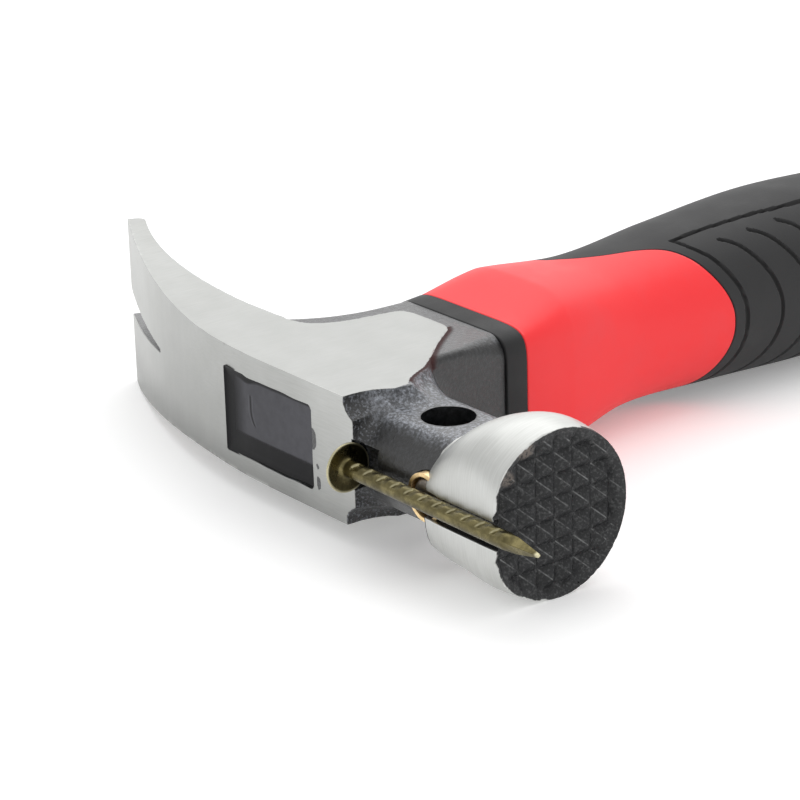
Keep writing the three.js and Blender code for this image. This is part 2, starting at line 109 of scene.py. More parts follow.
class HammerHeadSizes(PropertyGroup):
    """Sizes of the forged head."""
    face_diameter: length("Face diameter", "Diameter of the striking face", 25)
    face_reach: length("Face reach", "From the middle of the eye to the striking face", FACE_REACH)
    face_edge: length("Face edge", "Width of the edge around the striking face", 0.6)
    bell_length: length("Bell length", "Length of the bell behind its face", 17.5)
    bell_back_diameter: length("Bell back", "Diameter where the bell meets the neck", 17)
    bell_shoulder_diameter: length("Bell shoulder", "Diameter of the bell at a quarter of its length", 21.4)
    bell_middle_diameter: length("Bell middle", "Diameter of the bell at half its length", 24.2)
    bell_belly_diameter: length("Bell belly", "Largest diameter of the bell", 25.95)
    bell_belly_run: length("Belly run", "From the striking face to the bell's largest diameter", 4.5)
    bell_cant: length("Bell cant", "How far the bell's back lies off its face's axis, towards the top", 2.6)
    bell_sag: length("Bell sag", "How far the bell's back lies below the axis of its face", 1.9)
    bell_arch: length("Bell arch", "How far the bell's axis arches up between back and face", 1.45)
    bell_lean: length("Bell lean", "How far the bell's back leans forwards at the top of the head", 1.1)
    bell_flat: length("Bell flat", "From the middle of the neck to the flat on the bell", 10.7)
    bell_round: length("Bell round", "Width over which the bell's flat runs into its round side", 1.8)
    bell_shift: length("Bell shift", "How far the bell lies towards the handle", 0.4)
    bell_drop: length("Bell drop", "How far the bell lies below the middle plane", 0.5)
    mill_pitch: length("Milling pitch", "Distance between the points of the striking face", 3.3)
    mill_width: length("Milling groove", "Width of the grooves between the points", 3.3)
    mill_depth: length("Milling depth", "Depth of the grooves between the points", 1.4)
    neck_width: length("Neck width", "Neck across Y", 18.6)
    neck_thickness: length("Neck thickness", "Neck across Z", 15)
    neck_flat: length("Neck flat", "Width of the flat on top of the neck", 10.8)
    neck_side: length("Neck side", "Height of the flat on the side of the neck", 6)
    crown_fillet: length("Crown fillet", "Size of the hollow between the crown's front and the neck", 2.5)
    crown_ramp: length("Crown ramp", "Size of the hollow between the cheek's lower edge and the neck", 6.5)
    crown_scoop: length("Crown scoop", "Depth of the scoops at the corners of the crown's front", 2.2)
    socket_fillet: length("Socket fillet", "Size of the hollow between the socket and the neck", 4)
    hole_diameter: length("Hole diameter", "Upright hole through the neck", 8)
    hole_reach: length("Hole reach", "From the middle of the eye to the hole", 30.4)
    thickness: length("Head thickness", "Across the two ground cheeks", 20)
    socket_thickness: length("Socket thickness", "Across the painted sides of the socket", 19.76)
    crown_front: length("Crown front", "From the middle of the eye to the crown's front", 21.4)
    crown_rise: length("Crown rise", "From the bell's axis to the top of the head", 10.4)
    claw_reach: length("Claw reach", "From the middle of the eye to the claw's tip", 64.2)
    claw_drop: length("Claw drop", "How far the claw's tip lies below the top of the head", 17.3)
    claw_tip_width: length("Claw width", "Width of the claw at its tip", 28.6)
    claw_tip_thickness: length("Claw tip thickness", "Thickness of the claw at its tip", 2.9)
    claw_tip_round: length("Claw tip round", "Size of the round on the underside of the claw's tip", 1.6)
    claw_spread: length("Claw spread", "Length of the claw's end with an even width", 3.6)
    claw_root_depth: length("Claw root", "Depth of the claw's underside at the socket", 4)
    claw_root_reach: length("Claw root reach", "From the middle of the eye to the claw's root", 15.5)
    claw_root_radius: length("Claw root radius", "Run of the curve between claw and straight cheeks", 5)
    puller_length: length("Puller length", "Length of the slot in the claw", 25)
    puller_mouth: length("Puller mouth", "Width of the slot at the claw's tip", 4.8)
    puller_end: length("Puller end", "Width of the slot at its inner end", 0.7)
    socket_front: length("Socket front", "From the middle of the eye to the socket's front", 15)
    socket_back: length("Socket back", "From the middle of the eye to the socket's back at its end", 9.9)
    socket_flare: length("Socket flare", "How much further the socket's back lies at the claw's root", 5.4)
    socket_depth: length("Socket depth", "From the bell's axis to the socket's end", SOCKET_DEPTH)
    socket_corner: length("Socket corner", "Radius of the socket's front corners at its end", 3.6)
    socket_edge: length("Socket edge", "Radius of the socket's other long edges", 1.2)
    eye_length: length("Eye length", "Eye along X at the top of the head", 22.7)
    eye_width: length("Eye width", "Eye across Z at the top of the head", 13.3)
    eye_drop: length("Eye drop", "How far the eye lies below the middle plane", 0.35)
    eye_shift: length("Eye shift", "How far the eye's top lies towards the claw", 0.25)
    eye_corner: length("Eye corner", "Radius of the eye's corners", 0.9)
    eye_end_length: length("Eye end length", "Eye along X at the socket's end", 18.4)
    eye_end_width: length("Eye end width", "Eye across Z at the socket's end", 13)
    eye_end_offset: length("Eye end offset", "How far the eye's lower end lies towards the face", 2.2)
    slot_width: length("Starter slot", "Width of the nail's groove in the bell", 4.2)
    slot_drop: length("Starter drop", "How far the nail's groove lies below the middle plane", 0.9)
    slot_floor: length("Starter floor", "From the bell's axis to the floor of the nail's groove", 9.5)
    bush_diameter: length("Bush diameter", "Outside of the bush round the starter's magnet", 7.4)
    bush_wall: length("Bush wall", "Thickness of the bush", 0.65)
    bush_drop: length("Bush drop", "How far the bush lies below the middle plane", 0.4)
    fit: length("Fit", "Clearance round the pieces set into the head", 0.3)
    voxel: length("Skin step", "Distance between the points of the head's skin", 0.385)


class HammerHandleSizes(PropertyGroup):
    """Sizes of the collar, body and grip."""
    wall: length("Grip wall", "Thickness of the rubber over the body", 2.4)
    collar_proud: length("Collar proud", "How far the collar stands out of the handle", 0.05)
    collar_extra: length("Collar run", "How far the collar reaches past its solid towards the body", 1.2)
    edge: length("Edge round", "Radius of the moulded edges", 0.25)
    butt_round: length("Butt round", "Radius of the grip's end", 5)
    seam: length("Seam", "Gap between the body and the rubber", 0.12)
    groove_width: length("Groove width", "Width of the grip's grooves", 0.8)
    groove_depth: length("Groove depth", "Depth of the grip's grooves", 0.6)
    border_start: length("Border start", "From the bell's axis to the groove around the grip's pattern", 68.9)
    groove_gap: length("Groove gap", "Distance between the grooves along the grip", 6.5)


class HammerNailSizes(PropertyGroup):
    """Sizes of the nail that the starter holds."""
    shank: length("Shank", "Diameter of the nail's shank", 2.6)
    rim: length("Rim", "Thickness of the head's rim", 0.42)
    point: length("Point", "Length of the nail's point", 6.5)
    tip: length("Tip", "Width of the point's end", 0.5)
    mark_gap: length("Mark gap", "Distance between the gripper marks", 3.16)
    mark_depth: length("Mark depth", "Depth of the gripper marks", 0.27)


class HammerColours(PropertyGroup):
    """Colours of the finishes."""
    steel: hue("Ground steel", "Bright steel of cheeks, claw and bell", "#c6c7c5")
    steel_dark: hue("Steel shade", "Darker lines and clouds of the ground steel", "#b0b1ae")
    pit: hue("Pits", "Dark pits in the ground steel", "#5a564e")
    lacquer: hue("Black lacquer", "Paint on the rough forging", "#17181a")
    primer: hue("Primer", "Red-brown edge of the paint", "#3c1c1b")
    milled: hue("Milled face", "Blackened steel of the striking face", "#151618")
    # Worn ridges, which also serve as painted highlights on one hip of each point
    ridge: hue("Bare ridge", "Worn ridges of the striking face", "#858686")
    bared: hue("Bared rim", "Brown steel where the face's black finish has come off", "#6b625b")
    resin: hue("Resin", "Black epoxy in the eye", "#141416")
    # Colour of the painted reflection on the resin's pad
    resin_painted_reflection: hue("Lit resin", "Epoxy where its pad catches the light", "#525257")
    red: hue("Red plastic", "Moulded body of the handle", "#ff2c32")
    red_scuff: hue("Red scuffs", "Scuffed red plastic", "#f93c42")
    collar: hue("Collar", "Black plastic of the collar", "#171718")
    rubber: hue("Rubber", "Soft grip", "#1f1f20")
    rubber_scuff: hue("Rubber scuffs", "Scuffed rubber", "#2b2b2c")
    copper: hue("Copper", "Bush round the magnet", "#f3d3a0")
    magnet: hue("Magnet", "Face of the magnet", "#8d867e")
    zinc: hue("Yellow zinc", "Plating of the nail", "#746c4b")
    # Rubbed plating on the marks' walls and rim, also used for painted highlights there and for the painted
    # glint at the tip
    rubbed_and_glint: hue("Rubbed zinc", "Bare edges of the nail's gripper marks, rim and tip", "#c9c3a2")
    # Painted shade in the cup of the nail's head
    cup_painted_shade: hue("Grime", "Dark film in the cup of the nail's head", "#17140a")
    fibre: hue("Glass fibre", "Core inside the handle", "#d8cf9a")
    floor: hue("Floor", "Pale floor", "#f4f4f4")


def in_millimetres(group):
    """The lengths of a property group, in millimetres."""
    return SimpleNamespace(**{key: getattr(group, key) / MM for key in group.__annotations__})


# Meshes from arrays

def facing_out(points, blocks):
    """Blocks of faces, turned over if the volume that they enclose comes out negative.
    The volume is the sum over triangles of a . (b x c) / 6."""
    volume = 0.0
    for block in blocks:
        for second in range(1, block.shape[1] - 1):
            a, b, c = (points[block[:, corner]] for corner in (0, second, second + 1))
            volume += np.einsum("ij,ij->", a, np.cross(b, c)) / 6
    return [block[:, ::-1] for block in blocks] if volume < 0 else blocks


def add_piece(name, points, blocks, finish, body, node, sharp_angle=40):
    """One closed mesh at the origin from points in the hammer's millimetres and blocks of faces."""
    blocks = facing_out(points, [np.asarray(block) for block in blocks if len(block)])
    corners = np.concatenate([block.ravel() for block in blocks])
    counts = np.concatenate([np.full(len(block), block.shape[1]) for block in blocks])
    mesh = bpy.data.meshes.new(name)
    mesh.vertices.add(len(points))
    mesh.vertices.foreach_set("co", (points * MM + ORIGIN).astype(np.float32).ravel())
    mesh.loops.add(len(corners))
    mesh.loops.foreach_set("vertex_index", corners.astype(np.int32))
    mesh.polygons.add(len(counts))
    mesh.polygons.foreach_set("loop_start", (np.cumsum(counts) - counts).astype(np.int32))
    mesh.update(calc_edges=True)
    if mesh.validate():
        raise RuntimeError(f"{name} has faulty faces")
    mesh.shade_smooth()
    mesh.set_sharp_from_angle(angle=math.radians(sharp_angle))
    mesh.materials.append(finish)
    piece = bpy.data.objects.new(name, mesh)
    bpy.context.scene.collection.objects.link(piece)
    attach(piece, body)
    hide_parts(node)
    return piece


def add_value(piece, name, values):
    """Number at each point of a piece that its finish reads."""
    layer = piece.data.attributes.new(name, "FLOAT", "POINT")
    layer.data.foreach_set("value", values.astype(np.float32))


def skin_of_rings(rings, closed):
    """Points and faces of a skin over rings, an array of rows x columns x 3 whose columns run round.
    Either the last ring joins the first, or the ends close with fans to the middle of their rings."""
    rows, columns = rings.shape[:2]
    index = np.arange(rows * columns).reshape(rows, columns)
    here = np.concatenate([index, index[:1]]) if closed else index
    beside = np.roll(here, -1, axis=1)
    quads = np.stack([here[:-1], beside[:-1], beside[1:], here[1:]], axis=-1).reshape(-1, 4)
    points = rings.reshape(-1, 3)
    if closed:
        return points, [quads]
    first = np.full(columns, rows * columns)
    fans = np.concatenate([
        np.stack([first, beside[0], here[0]], axis=-1),
        np.stack([first + 1, here[-1], beside[-1]], axis=-1),
    ])
    return np.concatenate([points, rings[:1].mean(axis=1), rings[-1:].mean(axis=1)]), [quads, fans]


def bezier(points, count):
    """Curve pulled by its inner points: Bernstein polynomials of the parameter weigh the points."""
    share = np.linspace(0, 1, count)[:, None]
    order = len(points) - 1
    weights = [math.comb(order, i) * (1 - share) ** (order - i) * share ** i for i in range(order + 1)]
    return sum(weight * np.asarray(point) for weight, point in zip(weights, points))


def through(points, count):
    """Uniform Catmull-Rom curve: it passes each point along the line of that point's neighbours."""
    points = np.asarray(points, float)
    place = np.linspace(0, len(points) - 1, count)
    first = np.minimum(place.astype(int), len(points) - 2)
    share = (place - first)[:, None]
    before, a, b, after = (points[np.clip(first + step, 0, len(points) - 1)] for step in (-1, 0, 1, 2))
    leave = (b - before) / 2
    arrive = (after - a) / 2
    cube = 2 * a - 2 * b + leave + arrive
    square = -3 * a + 3 * b - 2 * leave - arrive
    return ((cube * share + square) * share + leave) * share + a


def round_angles(count):
    """Angles at even steps round a circle."""
    return np.arange(count) / count * 2 * np.pi


def quarter_turn(count):
    """Column of angles over a quarter of a circle."""
    return np.linspace(0, np.pi / 2, count)[:, None]


def rise(value, start, run):
    """Share of the way from a start over a run, held between 0 and 1. A negative run counts backwards."""
    return np.clip((value - start) / run, 0, 1)


def soft_field(points, edges):
    """Product of the rises along some axes at points: each edge is an axis, a start and a run."""
    return np.prod([rise(points[:, axis], start, run) for axis, start, run in edges], axis=0)


def smooth_max(a, b, width):
    """The larger of two fields, rounded over where they differ by less than a width."""
    share = np.clip(0.5 + 0.5 * (a - b) / width, 0, 1)
    return b + (a - b) * share + width * share * (1 - share)


def smooth_min(a, b, width):
    """The smaller of two fields, filleted where they differ by less than a width."""
    return -smooth_max(-a, -b, width)


def outline_distance(across, along, outline):
    """Distance to a closed outline of corners, negative inside: the least distance to its sides,
    with the sign from how often a ray crosses them."""
    nearest = np.inf
    inside = False
    for (ax, ay), (bx, by) in zip(outline, np.roll(outline, -1, axis=0)):
        share = ((across - ax) * (bx - ax) + (along - ay) * (by - ay)) / ((bx - ax) ** 2 + (by - ay) ** 2)
        share = np.clip(share, 0, 1)
        gap = (across - ax - share * (bx - ax)) ** 2 + (along - ay - share * (by - ay)) ** 2
        nearest = np.minimum(nearest, gap)
        if ay != by:
            crossing = (ay > along) != (by > along)
            inside = inside ^ (crossing & (across < ax + (along - ay) / (by - ay) * (bx - ax)))
    return np.where(inside, -1, 1) * np.sqrt(nearest)


def rounded_box(across, along, half_across, half_along, corner):
    """Distance to a rectangle with round corners, negative inside."""
    a = np.abs(across) - half_across + corner
    b = np.abs(along) - half_along + corner
    return np.hypot(np.maximum(a, 0), np.maximum(b, 0)) + np.minimum(np.maximum(a, b), 0) - corner


# How strongly a point of the skin is drawn to the middle of its crossings
CENTRE_PULL = 0.06


def skin_of_field(field, low, high, step):
    """Points and quads of the skin where a field of X, Y and Z is zero, negative inside.
    A grid of cubes covers the box. Each grid edge with a change of sign gives a crossing, with the field's
    slope as its normal. Each cube that has crossings gets one point, the least-squares meeting of their
    tangent planes, which keeps edges crisp. Each crossing joins the points of the four cubes around it."""
    axes = [np.arange(a, b + step, step) for a, b in zip(low, high)]
    counts = [len(axis) for axis in axes]
    values = field(*np.meshgrid(*axes, indexing="ij", sparse=True))
    strides = np.array([counts[1] * counts[2], counts[2], 1])
    places, normals, cubes, forward = [], [], [], []
    for axis in range(3):
        start = [slice(None)] * 3
        end = [slice(None)] * 3
        start[axis] = slice(None, -1)
        end[axis] = slice(1, None)
        near, far = values[tuple(start)], values[tuple(end)]
        found = np.argwhere((near < 0) != (far < 0))
        a, b = near[tuple(found.T)], far[tuple(found.T)]
        share = a / (a - b)
        corner = np.stack([axes[i][found[:, i]] for i in range(3)], axis=1)
        reach = np.zeros(3)
        reach[axis] = step
        point = corner + share[:, None] * reach
        error = field(*point.T)
        share = np.clip(share - error / (b - a), 0, 1)
        point = corner + share[:, None] * reach
        places.append(point)
        tiny = step / 50
        middle = field(*point.T)
        slope = np.stack([field(*(point + tiny * unit).T) - middle for unit in np.eye(3)], axis=1)
        normals.append(slope / np.maximum(np.linalg.norm(slope, axis=1, keepdims=True), 1e-9))
        u, v = strides[(axis + 1) % 3], strides[(axis + 2) % 3]
        cubes.append((found @ strides)[:, None] + np.array([-u - v, -v, 0, -u]))
        forward.append(a < 0)
    place, normal, cube = (np.concatenate(part) for part in (places, normals, cubes))
    forward = np.concatenate(forward)
    used, corner = np.unique(cube, return_inverse=True)
    corner = corner.reshape(-1, 4)
    spread = corner.ravel()

    def gather(per_crossing):
        return np.bincount(spread, weights=np.repeat(per_crossing, 4), minlength=len(used))

    number = gather(np.ones(len(place)))
    centre = np.stack([gather(place[:, i]) for i in range(3)], axis=1) / number[:, None]
    matrix = np.empty((len(used), 3, 3))
    for i in range(3):
        for j in range(3):
            matrix[:, i, j] = gather(normal[:, i] * normal[:, j])
    offset = np.einsum("ij,ij->i", normal, place)
    target = np.stack([gather(normal[:, i] * offset) for i in range(3)], axis=1)
    target -= np.einsum("ijk,ik->ij", matrix, centre)
    matrix += CENTRE_PULL * np.eye(3) * number[:, None, None]
    points = centre + np.linalg.solve(matrix, target[:, :, None])[:, :, 0]
    cell = np.stack([axes[i][used // strides[i] % counts[i]] for i in range(3)], axis=1)
    points = np.clip(points, cell, cell + step)
    quads = np.where(forward[:, None], corner, corner[:, ::-1])
    return points, quads


# The forged head

CLAW_BACK_PULL = 0.44
CLAW_TIP_PULL = 0.42
CLAW_INNER_TIP_PULL = 0.22
CLAW_INNER_ROOT_PULL = 0.42
CLAW_INNER_ARCH = 2.15
CLAW_TIP_ANGLE = math.radians(27.5)
# How far the bell's rim stands out of the striking face's edge
RIM_RISE = 0.12
# Lower edge of the ground cheek, from the claw's root round the tongue on the socket to the crown's front
TONGUE = [(-14, 3.9), (-12.3, 4.2), (-10.5, 5), (-9.1, 6.6), (-8, 8.8), (-7.3, 11), (-6.8, 14), (-6.3, 17),
          (-5.9, 18.8), (-5.2, 19.5), (-4, 19.9), (-2, 20.1), (0, 20.2), (3.5, 20.1), (5, 19.8), (6.2, 19),
          (7, 18), (8.5, 16), (10.5, 13.5), (13, 10.8), (15, 8.5), (17, 6), (18.5, 3), (19.5, 1.4),
          (20.8, 0.1), (21.4, -0.3)]
# How fast the flare of the socket's back dies out towards its end
FLARE_POWER = 2.8
# Reach of the scoops in the crown's front: down from the top and in from the cheeks
SCOOP_REACH = (7.6, 3.2)
# Where a groove of the milled face lies: across Y and Z
MILL_PHASE = (0.85, -1.65)
# Run over which the milling fades at the face's rim, and the share left there: to the top, to the handle
MILL_FADE = 1.8
MILL_LEFT = (0.2, 0.02)
# Depth of the slow and the quick waves in the eye's edge
EYE_WAVES = (0.06, 0.03)
# Share of the socket's depth, from its end, over which the round of its front corners dies out
CORNER_SHARE = 0.4
# How far the neck runs on into the crown and into the bell, and how far its edges are rounded
NECK_OVERLAP = (4, 5)
NECK_ROUNDS = (1, 1.2)
# Places along Y between which the crown's hollow grows from fillet to ramp
RAMP_SPAN = (-3, 1)
# Length of the pocket for the nail's head
POCKET_LENGTH = 4
# Factors that keep the slope of a field near 1 where a scoop or the milling makes it steeper
FRONT_SLOPE = 0.8
FACE_SLOPE = 0.75
# Space between the head and the sides of its field's grid
FIELD_MARGIN = 1.5
# Smears of resin on the steel beside the eye: middle in X and Z, then half length and half height
SMEARS = [(12.4, -5.5, 0.4, 1.1), (12.3, -2.9, 0.35, 0.4), (11.2, 1.2, 0.95, 1.7)]
# Spots on the face's rim where the finish has come off: middle in Y and Z, then radius
BARE_SPOTS = [(-5.2, 10.4, 1.3), (-8.3, 6.9, 1.0)]
# How far under the drawn surface a point still counts as ground: on cheeks and top, and on the bell
GROUND_DEPTH = 0.16
BELL_GROUND_DEPTH = 0.28
# Edges that stay painted at the crown's front and at the bell's back, and black at the face,
# where the edge is wider from a place along Y on
FRONT_EDGE = 0.1
BACK_EDGE = 0.2
FACE_EDGE = 0.12
WIDE_FACE_EDGE = 0.6
WIDE_FACE_FROM = 5
# How far in front of the bell's back its grinding lines and its tone start
BELL_ZONE_LEAD = 2
# Tone of the ground steel is painted reflection: the cheeks a little darker, the bell brighter in place of
# more overhead light, and the top darker where it mirrors the shadowed floor.
# Bell and top change with the height, and the top has more painted shades: amount, axis, start and run
CHEEK_TONE = 0.87
BELL_TONE = (1.2, -0.06)
TOP_TONE = (0.76, 0.1)
TOP_PAINTED_SHADES = [(0.12, 0, 6, 8), (0.14, 0, -30, -20), (-0.14, 2, -5, -5)]
# Tone of the paint: at the back of the head, then from a place along X on, and what dust and a painted sheen
# add on the neck
BACK_PAINT = 1.5
FRONT_PAINT = 0.5
FRONT_PAINT_FROM = 14
DUST_AND_SHEEN = 9
DUST_AND_SHEEN_EDGES = [(2, 5.5, 1.5), (0, 16, 2), (1, -7.5, 2)]
HOLE_EDGE = 0.1
# How far behind the face's points its black finish starts, and the run over which it sets in
STRUCK_DEPTH = 1.7
STRUCK_RUN = 0.2
# Primer line below the ground cheek: its distance and width, and the places in X, Y and Z past which it shows
PRIMER_GAP = 0.4
PRIMER_WIDTH = 0.5
PRIMER_FROM = (5, 0.5, 8)
# Coarse grain in the crown's hollow, which also carries painted glints: from a place along X on, with soft
# edges
COARSE_FROM = 18.5
COARSE_EDGES = [(0, 25, -4), (1, 2, -2)]
# Edge of the face without the worn ridges and their painted highlights, and the run over which they set in
POINTED_EDGE = 0.7
POINTED_RUN = 0.5


def claw_curves(s):
    """Top curve from the crown to the claw's tip, and blunt tip and underside to the socket."""
    along = np.array([math.cos(CLAW_TIP_ANGLE), -math.sin(CLAW_TIP_ANGLE)])
    across = np.array([math.sin(CLAW_TIP_ANGLE), math.cos(CLAW_TIP_ANGLE)])
    span = s.claw_reach - s.claw_root_reach + s.claw_root_radius
    tip = np.array([-s.claw_reach, s.claw_drop - s.crown_rise])
    corner = tip + across * s.claw_tip_thickness
    under_tip = corner + along * s.claw_tip_round
    root = np.array([-s.claw_root_reach, s.claw_root_depth])
    arch = root - [span * CLAW_INNER_ROOT_PULL, CLAW_INNER_ARCH]
    top = bezier([(0, -s.crown_rise), (-span * CLAW_BACK_PULL, -s.crown_rise),
                  tip + along * span * CLAW_TIP_PULL, tip], 24)
    under = bezier([under_tip, under_tip + along * span * CLAW_INNER_TIP_PULL, arch, root], 18)
    blunt = bezier([corner - across * s.claw_tip_round, corner, under_tip], 8)
    return top, np.concatenate([blunt[:-1], under])


def crown_outline(s):
    """Side outline of claw and crown, with the tongue of the ground cheek that runs down the socket."""
    top, under = claw_curves(s)
    return np.concatenate([[(s.crown_front, -s.crown_rise)], top, under, TONGUE])


def half_width(s, x):
    """Half the head's width: straight cheeks, then a bezier curve that spreads to the claw's tip."""
    start = -s.claw_root_reach
    end = s.claw_spread - s.claw_reach
    pull = (start + end) / 2 + s.claw_root_radius
    cheek = s.thickness / 2
    curve = bezier([(start, cheek), (pull, cheek), (end, s.claw_tip_width / 2)], 40)[::-1]
    return np.interp(x, curve[:, 0], curve[:, 1])


def bell_profile(s):
    """Radius of the bell along X: a smooth curve from neck over belly to face, with a small edge there."""
    back = s.face_reach - s.bell_length
    rim = s.face_reach - s.face_edge
    places = [
        (back, s.bell_back_diameter / 2),
        (back + s.bell_length / 4, s.bell_shoulder_diameter / 2),
        (back + s.bell_length / 2, s.bell_middle_diameter / 2),
        (s.face_reach - s.bell_belly_run, s.bell_belly_diameter / 2),
        (rim, s.face_diameter / 2 + RIM_RISE),
    ]
    return np.concatenate([through(places, 40), [(s.face_reach, s.face_diameter / 2)]])


def bell_offset(s, x, y, z):
    """Distance from the bell's round side: from its bent axis less its radius, set square to the slope."""
    profile = bell_profile(s)
    slope = np.gradient(profile[:, 1], profile[:, 0])
    back = (s.face_reach - x) / s.bell_length
    across = y - s.bell_shift + s.bell_cant * back
    up = z + s.bell_drop + s.bell_sag * back - s.bell_arch * np.sin(np.pi * np.clip(back, 0, 1))
    steep = np.interp(x, profile[:, 0], slope)
    return (np.hypot(across, up) - np.interp(x, profile[:, 0], profile[:, 1])) / np.sqrt(1 + steep ** 2)


def bell_side(s, x, y, z):
    """Distance from the bell's side with the flat under the nail, which runs softly into the round."""
    return smooth_max(bell_offset(s, x, y, z), -s.bell_flat - y, s.bell_round)


def milling(s, y, z):
    """Depth of the crossed V grooves below the striking face."""
    def groove(place):
        from_groove = np.abs((place / s.mill_pitch + 0.5) % 1 - 0.5) * s.mill_pitch
        return np.maximum(1 - from_groove / (s.mill_width / 2), 0) * s.mill_depth
    rim = s.face_diameter / 2 - np.hypot(y - s.bell_shift, z + s.bell_drop)
    depth = np.maximum(groove(y - MILL_PHASE[0]), groove(z - MILL_PHASE[1]))
    return depth * np.clip(rim / MILL_FADE, np.where(y < 0, *MILL_LEFT), 1)


def eye_distance(s, x, y, z):
    """Distance to the tapered opening for the handle, whose edge wanders a little as a forged one does."""
    share = (y + s.crown_rise) / (s.socket_depth + s.crown_rise)
    half_length = (s.eye_length + (s.eye_end_length - s.eye_length) * share) / 2
    half_across = (s.eye_width + (s.eye_end_width - s.eye_width) * share) / 2
    wander = EYE_WAVES[0] * np.sin(0.55 * x + 0.4) * np.cos(0.5 * z)
    wander = wander + EYE_WAVES[1] * np.sin(1.1 * x - 0.9 * z)
    across = x - s.eye_end_offset * share + s.eye_shift * (1 - share)
    return rounded_box(across, z + s.eye_drop * (1 - share), half_length, half_across, s.eye_corner) + wander


def bell_back(s, y):
    """Place along X where the bell starts, on a plane that leans forwards to the top of the head."""
    return s.face_reach - s.bell_length - s.bell_lean * y / s.crown_rise


def crown_front(s, y, z):
    """Place along X of the crown's front: a plane with a scoop at each corner of the top, where the depth
    falls with the third power of the distance from the corner."""
    down = (y + s.crown_rise) / SCOOP_REACH[0]
    inwards = (s.thickness / 2 - np.abs(z)) / SCOOP_REACH[1]
    return s.crown_front - s.crown_scoop * np.clip(1 - np.hypot(down, inwards) ** 3, 0, 1)


def socket_distance(s, x, y, z):
    """Distance to the socket: a block whose back flares towards the claw and whose front corners round off
    towards its end."""
    share = np.clip((s.socket_depth - y) / (s.socket_depth - s.claw_root_depth), 0, 1.1)
    back = s.socket_back + s.socket_flare * share ** FLARE_POWER
    corner = s.socket_edge + (s.socket_corner - s.socket_edge) * np.clip(1 - share / CORNER_SHARE, 0, 1)
    corner = np.where(x < 0, s.socket_edge, corner)
    middle, half_length = (s.socket_front - back) / 2, (s.socket_front + back) / 2
    block = rounded_box(x - middle, z, half_length, s.socket_thickness / 2, corner)
    return np.maximum(block, np.abs(y - s.socket_depth / 2) - s.socket_depth / 2)


def head_field(s):
    """Field of the whole forging: blocks and turned forms joined with fillets, then every opening cut in."""
    outline = crown_outline(s)
    neck_half_y, neck_half_z = s.neck_width / 2, s.neck_thickness / 2
    bevel_y, bevel_z = neck_half_y - s.neck_flat / 2, neck_half_z - s.neck_side / 2
    bevel = np.array([bevel_z, bevel_y]) / math.hypot(bevel_y, bevel_z)
    bush_x = (BUSH_LOW[0] + BUSH_HIGH[0]) / 2
    nail_y = (NAIL_LOW[1] + NAIL_HIGH[1]) / 2
    nail_radius = (NAIL_HIGH[2] - NAIL_LOW[2]) / 2
    neck_start, neck_end = s.crown_front - NECK_OVERLAP[0], bell_back(s, 0) + NECK_OVERLAP[1]
    neck_middle, neck_reach = (neck_start + neck_end) / 2, (neck_end - neck_start) / 2

    def field(x, y, z):
        high = np.abs(z)
        cheek = high - half_width(s, x)
        crown = np.maximum(outline_distance(x, y, outline), cheek)
        crown = np.maximum(crown, (x - crown_front(s, y, z)) * FRONT_SLOPE)
        socket = socket_distance(s, x, y, z)
        beyond_y, beyond_z = np.abs(y) - neck_half_y, high - neck_half_z
        slant = (beyond_y + bevel_y) * bevel[0] + beyond_z * bevel[1]
        neck = smooth_max(smooth_max(beyond_y, beyond_z, NECK_ROUNDS[0]), slant, NECK_ROUNDS[1])
        neck = np.maximum(neck, np.abs(x - neck_middle) - neck_reach)
        fillet = np.interp(y, RAMP_SPAN, [s.crown_fillet, s.crown_ramp])
        solid = np.minimum(smooth_min(crown, neck, fillet), smooth_min(socket, neck, s.socket_fillet))
        solid = np.maximum(solid, np.maximum(cheek, -s.crown_rise - y))
        seat = np.hypot(x - bush_x, z + s.bush_drop) - s.bush_diameter / 2 - s.fit / 2
        solid = np.maximum(solid, -np.maximum(seat, y - BUSH_HIGH[1] - s.fit))
        face = (x - s.face_reach + milling(s, y, z)) * FACE_SLOPE
        bell = np.maximum(np.maximum(bell_side(s, x, y, z), face), bell_back(s, y) - x)
        solid = np.minimum(solid, bell)
        groove = np.maximum(np.abs(z + s.slot_drop) - s.slot_width / 2, y + s.slot_floor)
        groove = np.maximum(groove, bell_back(s, 0) - x)
        solid = np.maximum(solid, -groove)
        pocket = np.hypot(y - nail_y, z) - nail_radius - s.fit
        pocket = np.maximum(pocket, np.abs(x - NAIL_LOW[0] - POCKET_LENGTH / 2) - POCKET_LENGTH / 2 - s.fit)
        solid = np.maximum(solid, -pocket)
        hole = np.hypot(x - s.hole_reach, y) - s.hole_diameter / 2
        solid = np.maximum(solid, -hole)
        opening = s.puller_end / 2 + (s.puller_mouth - s.puller_end) / 2 * (
            (s.puller_length - s.claw_reach - x) / s.puller_length)
        puller = np.maximum(high - opening, x + s.claw_reach - s.puller_length)
        solid = np.maximum(solid, -puller)
        return np.maximum(solid, -eye_distance(s, x, y, z))

    return field


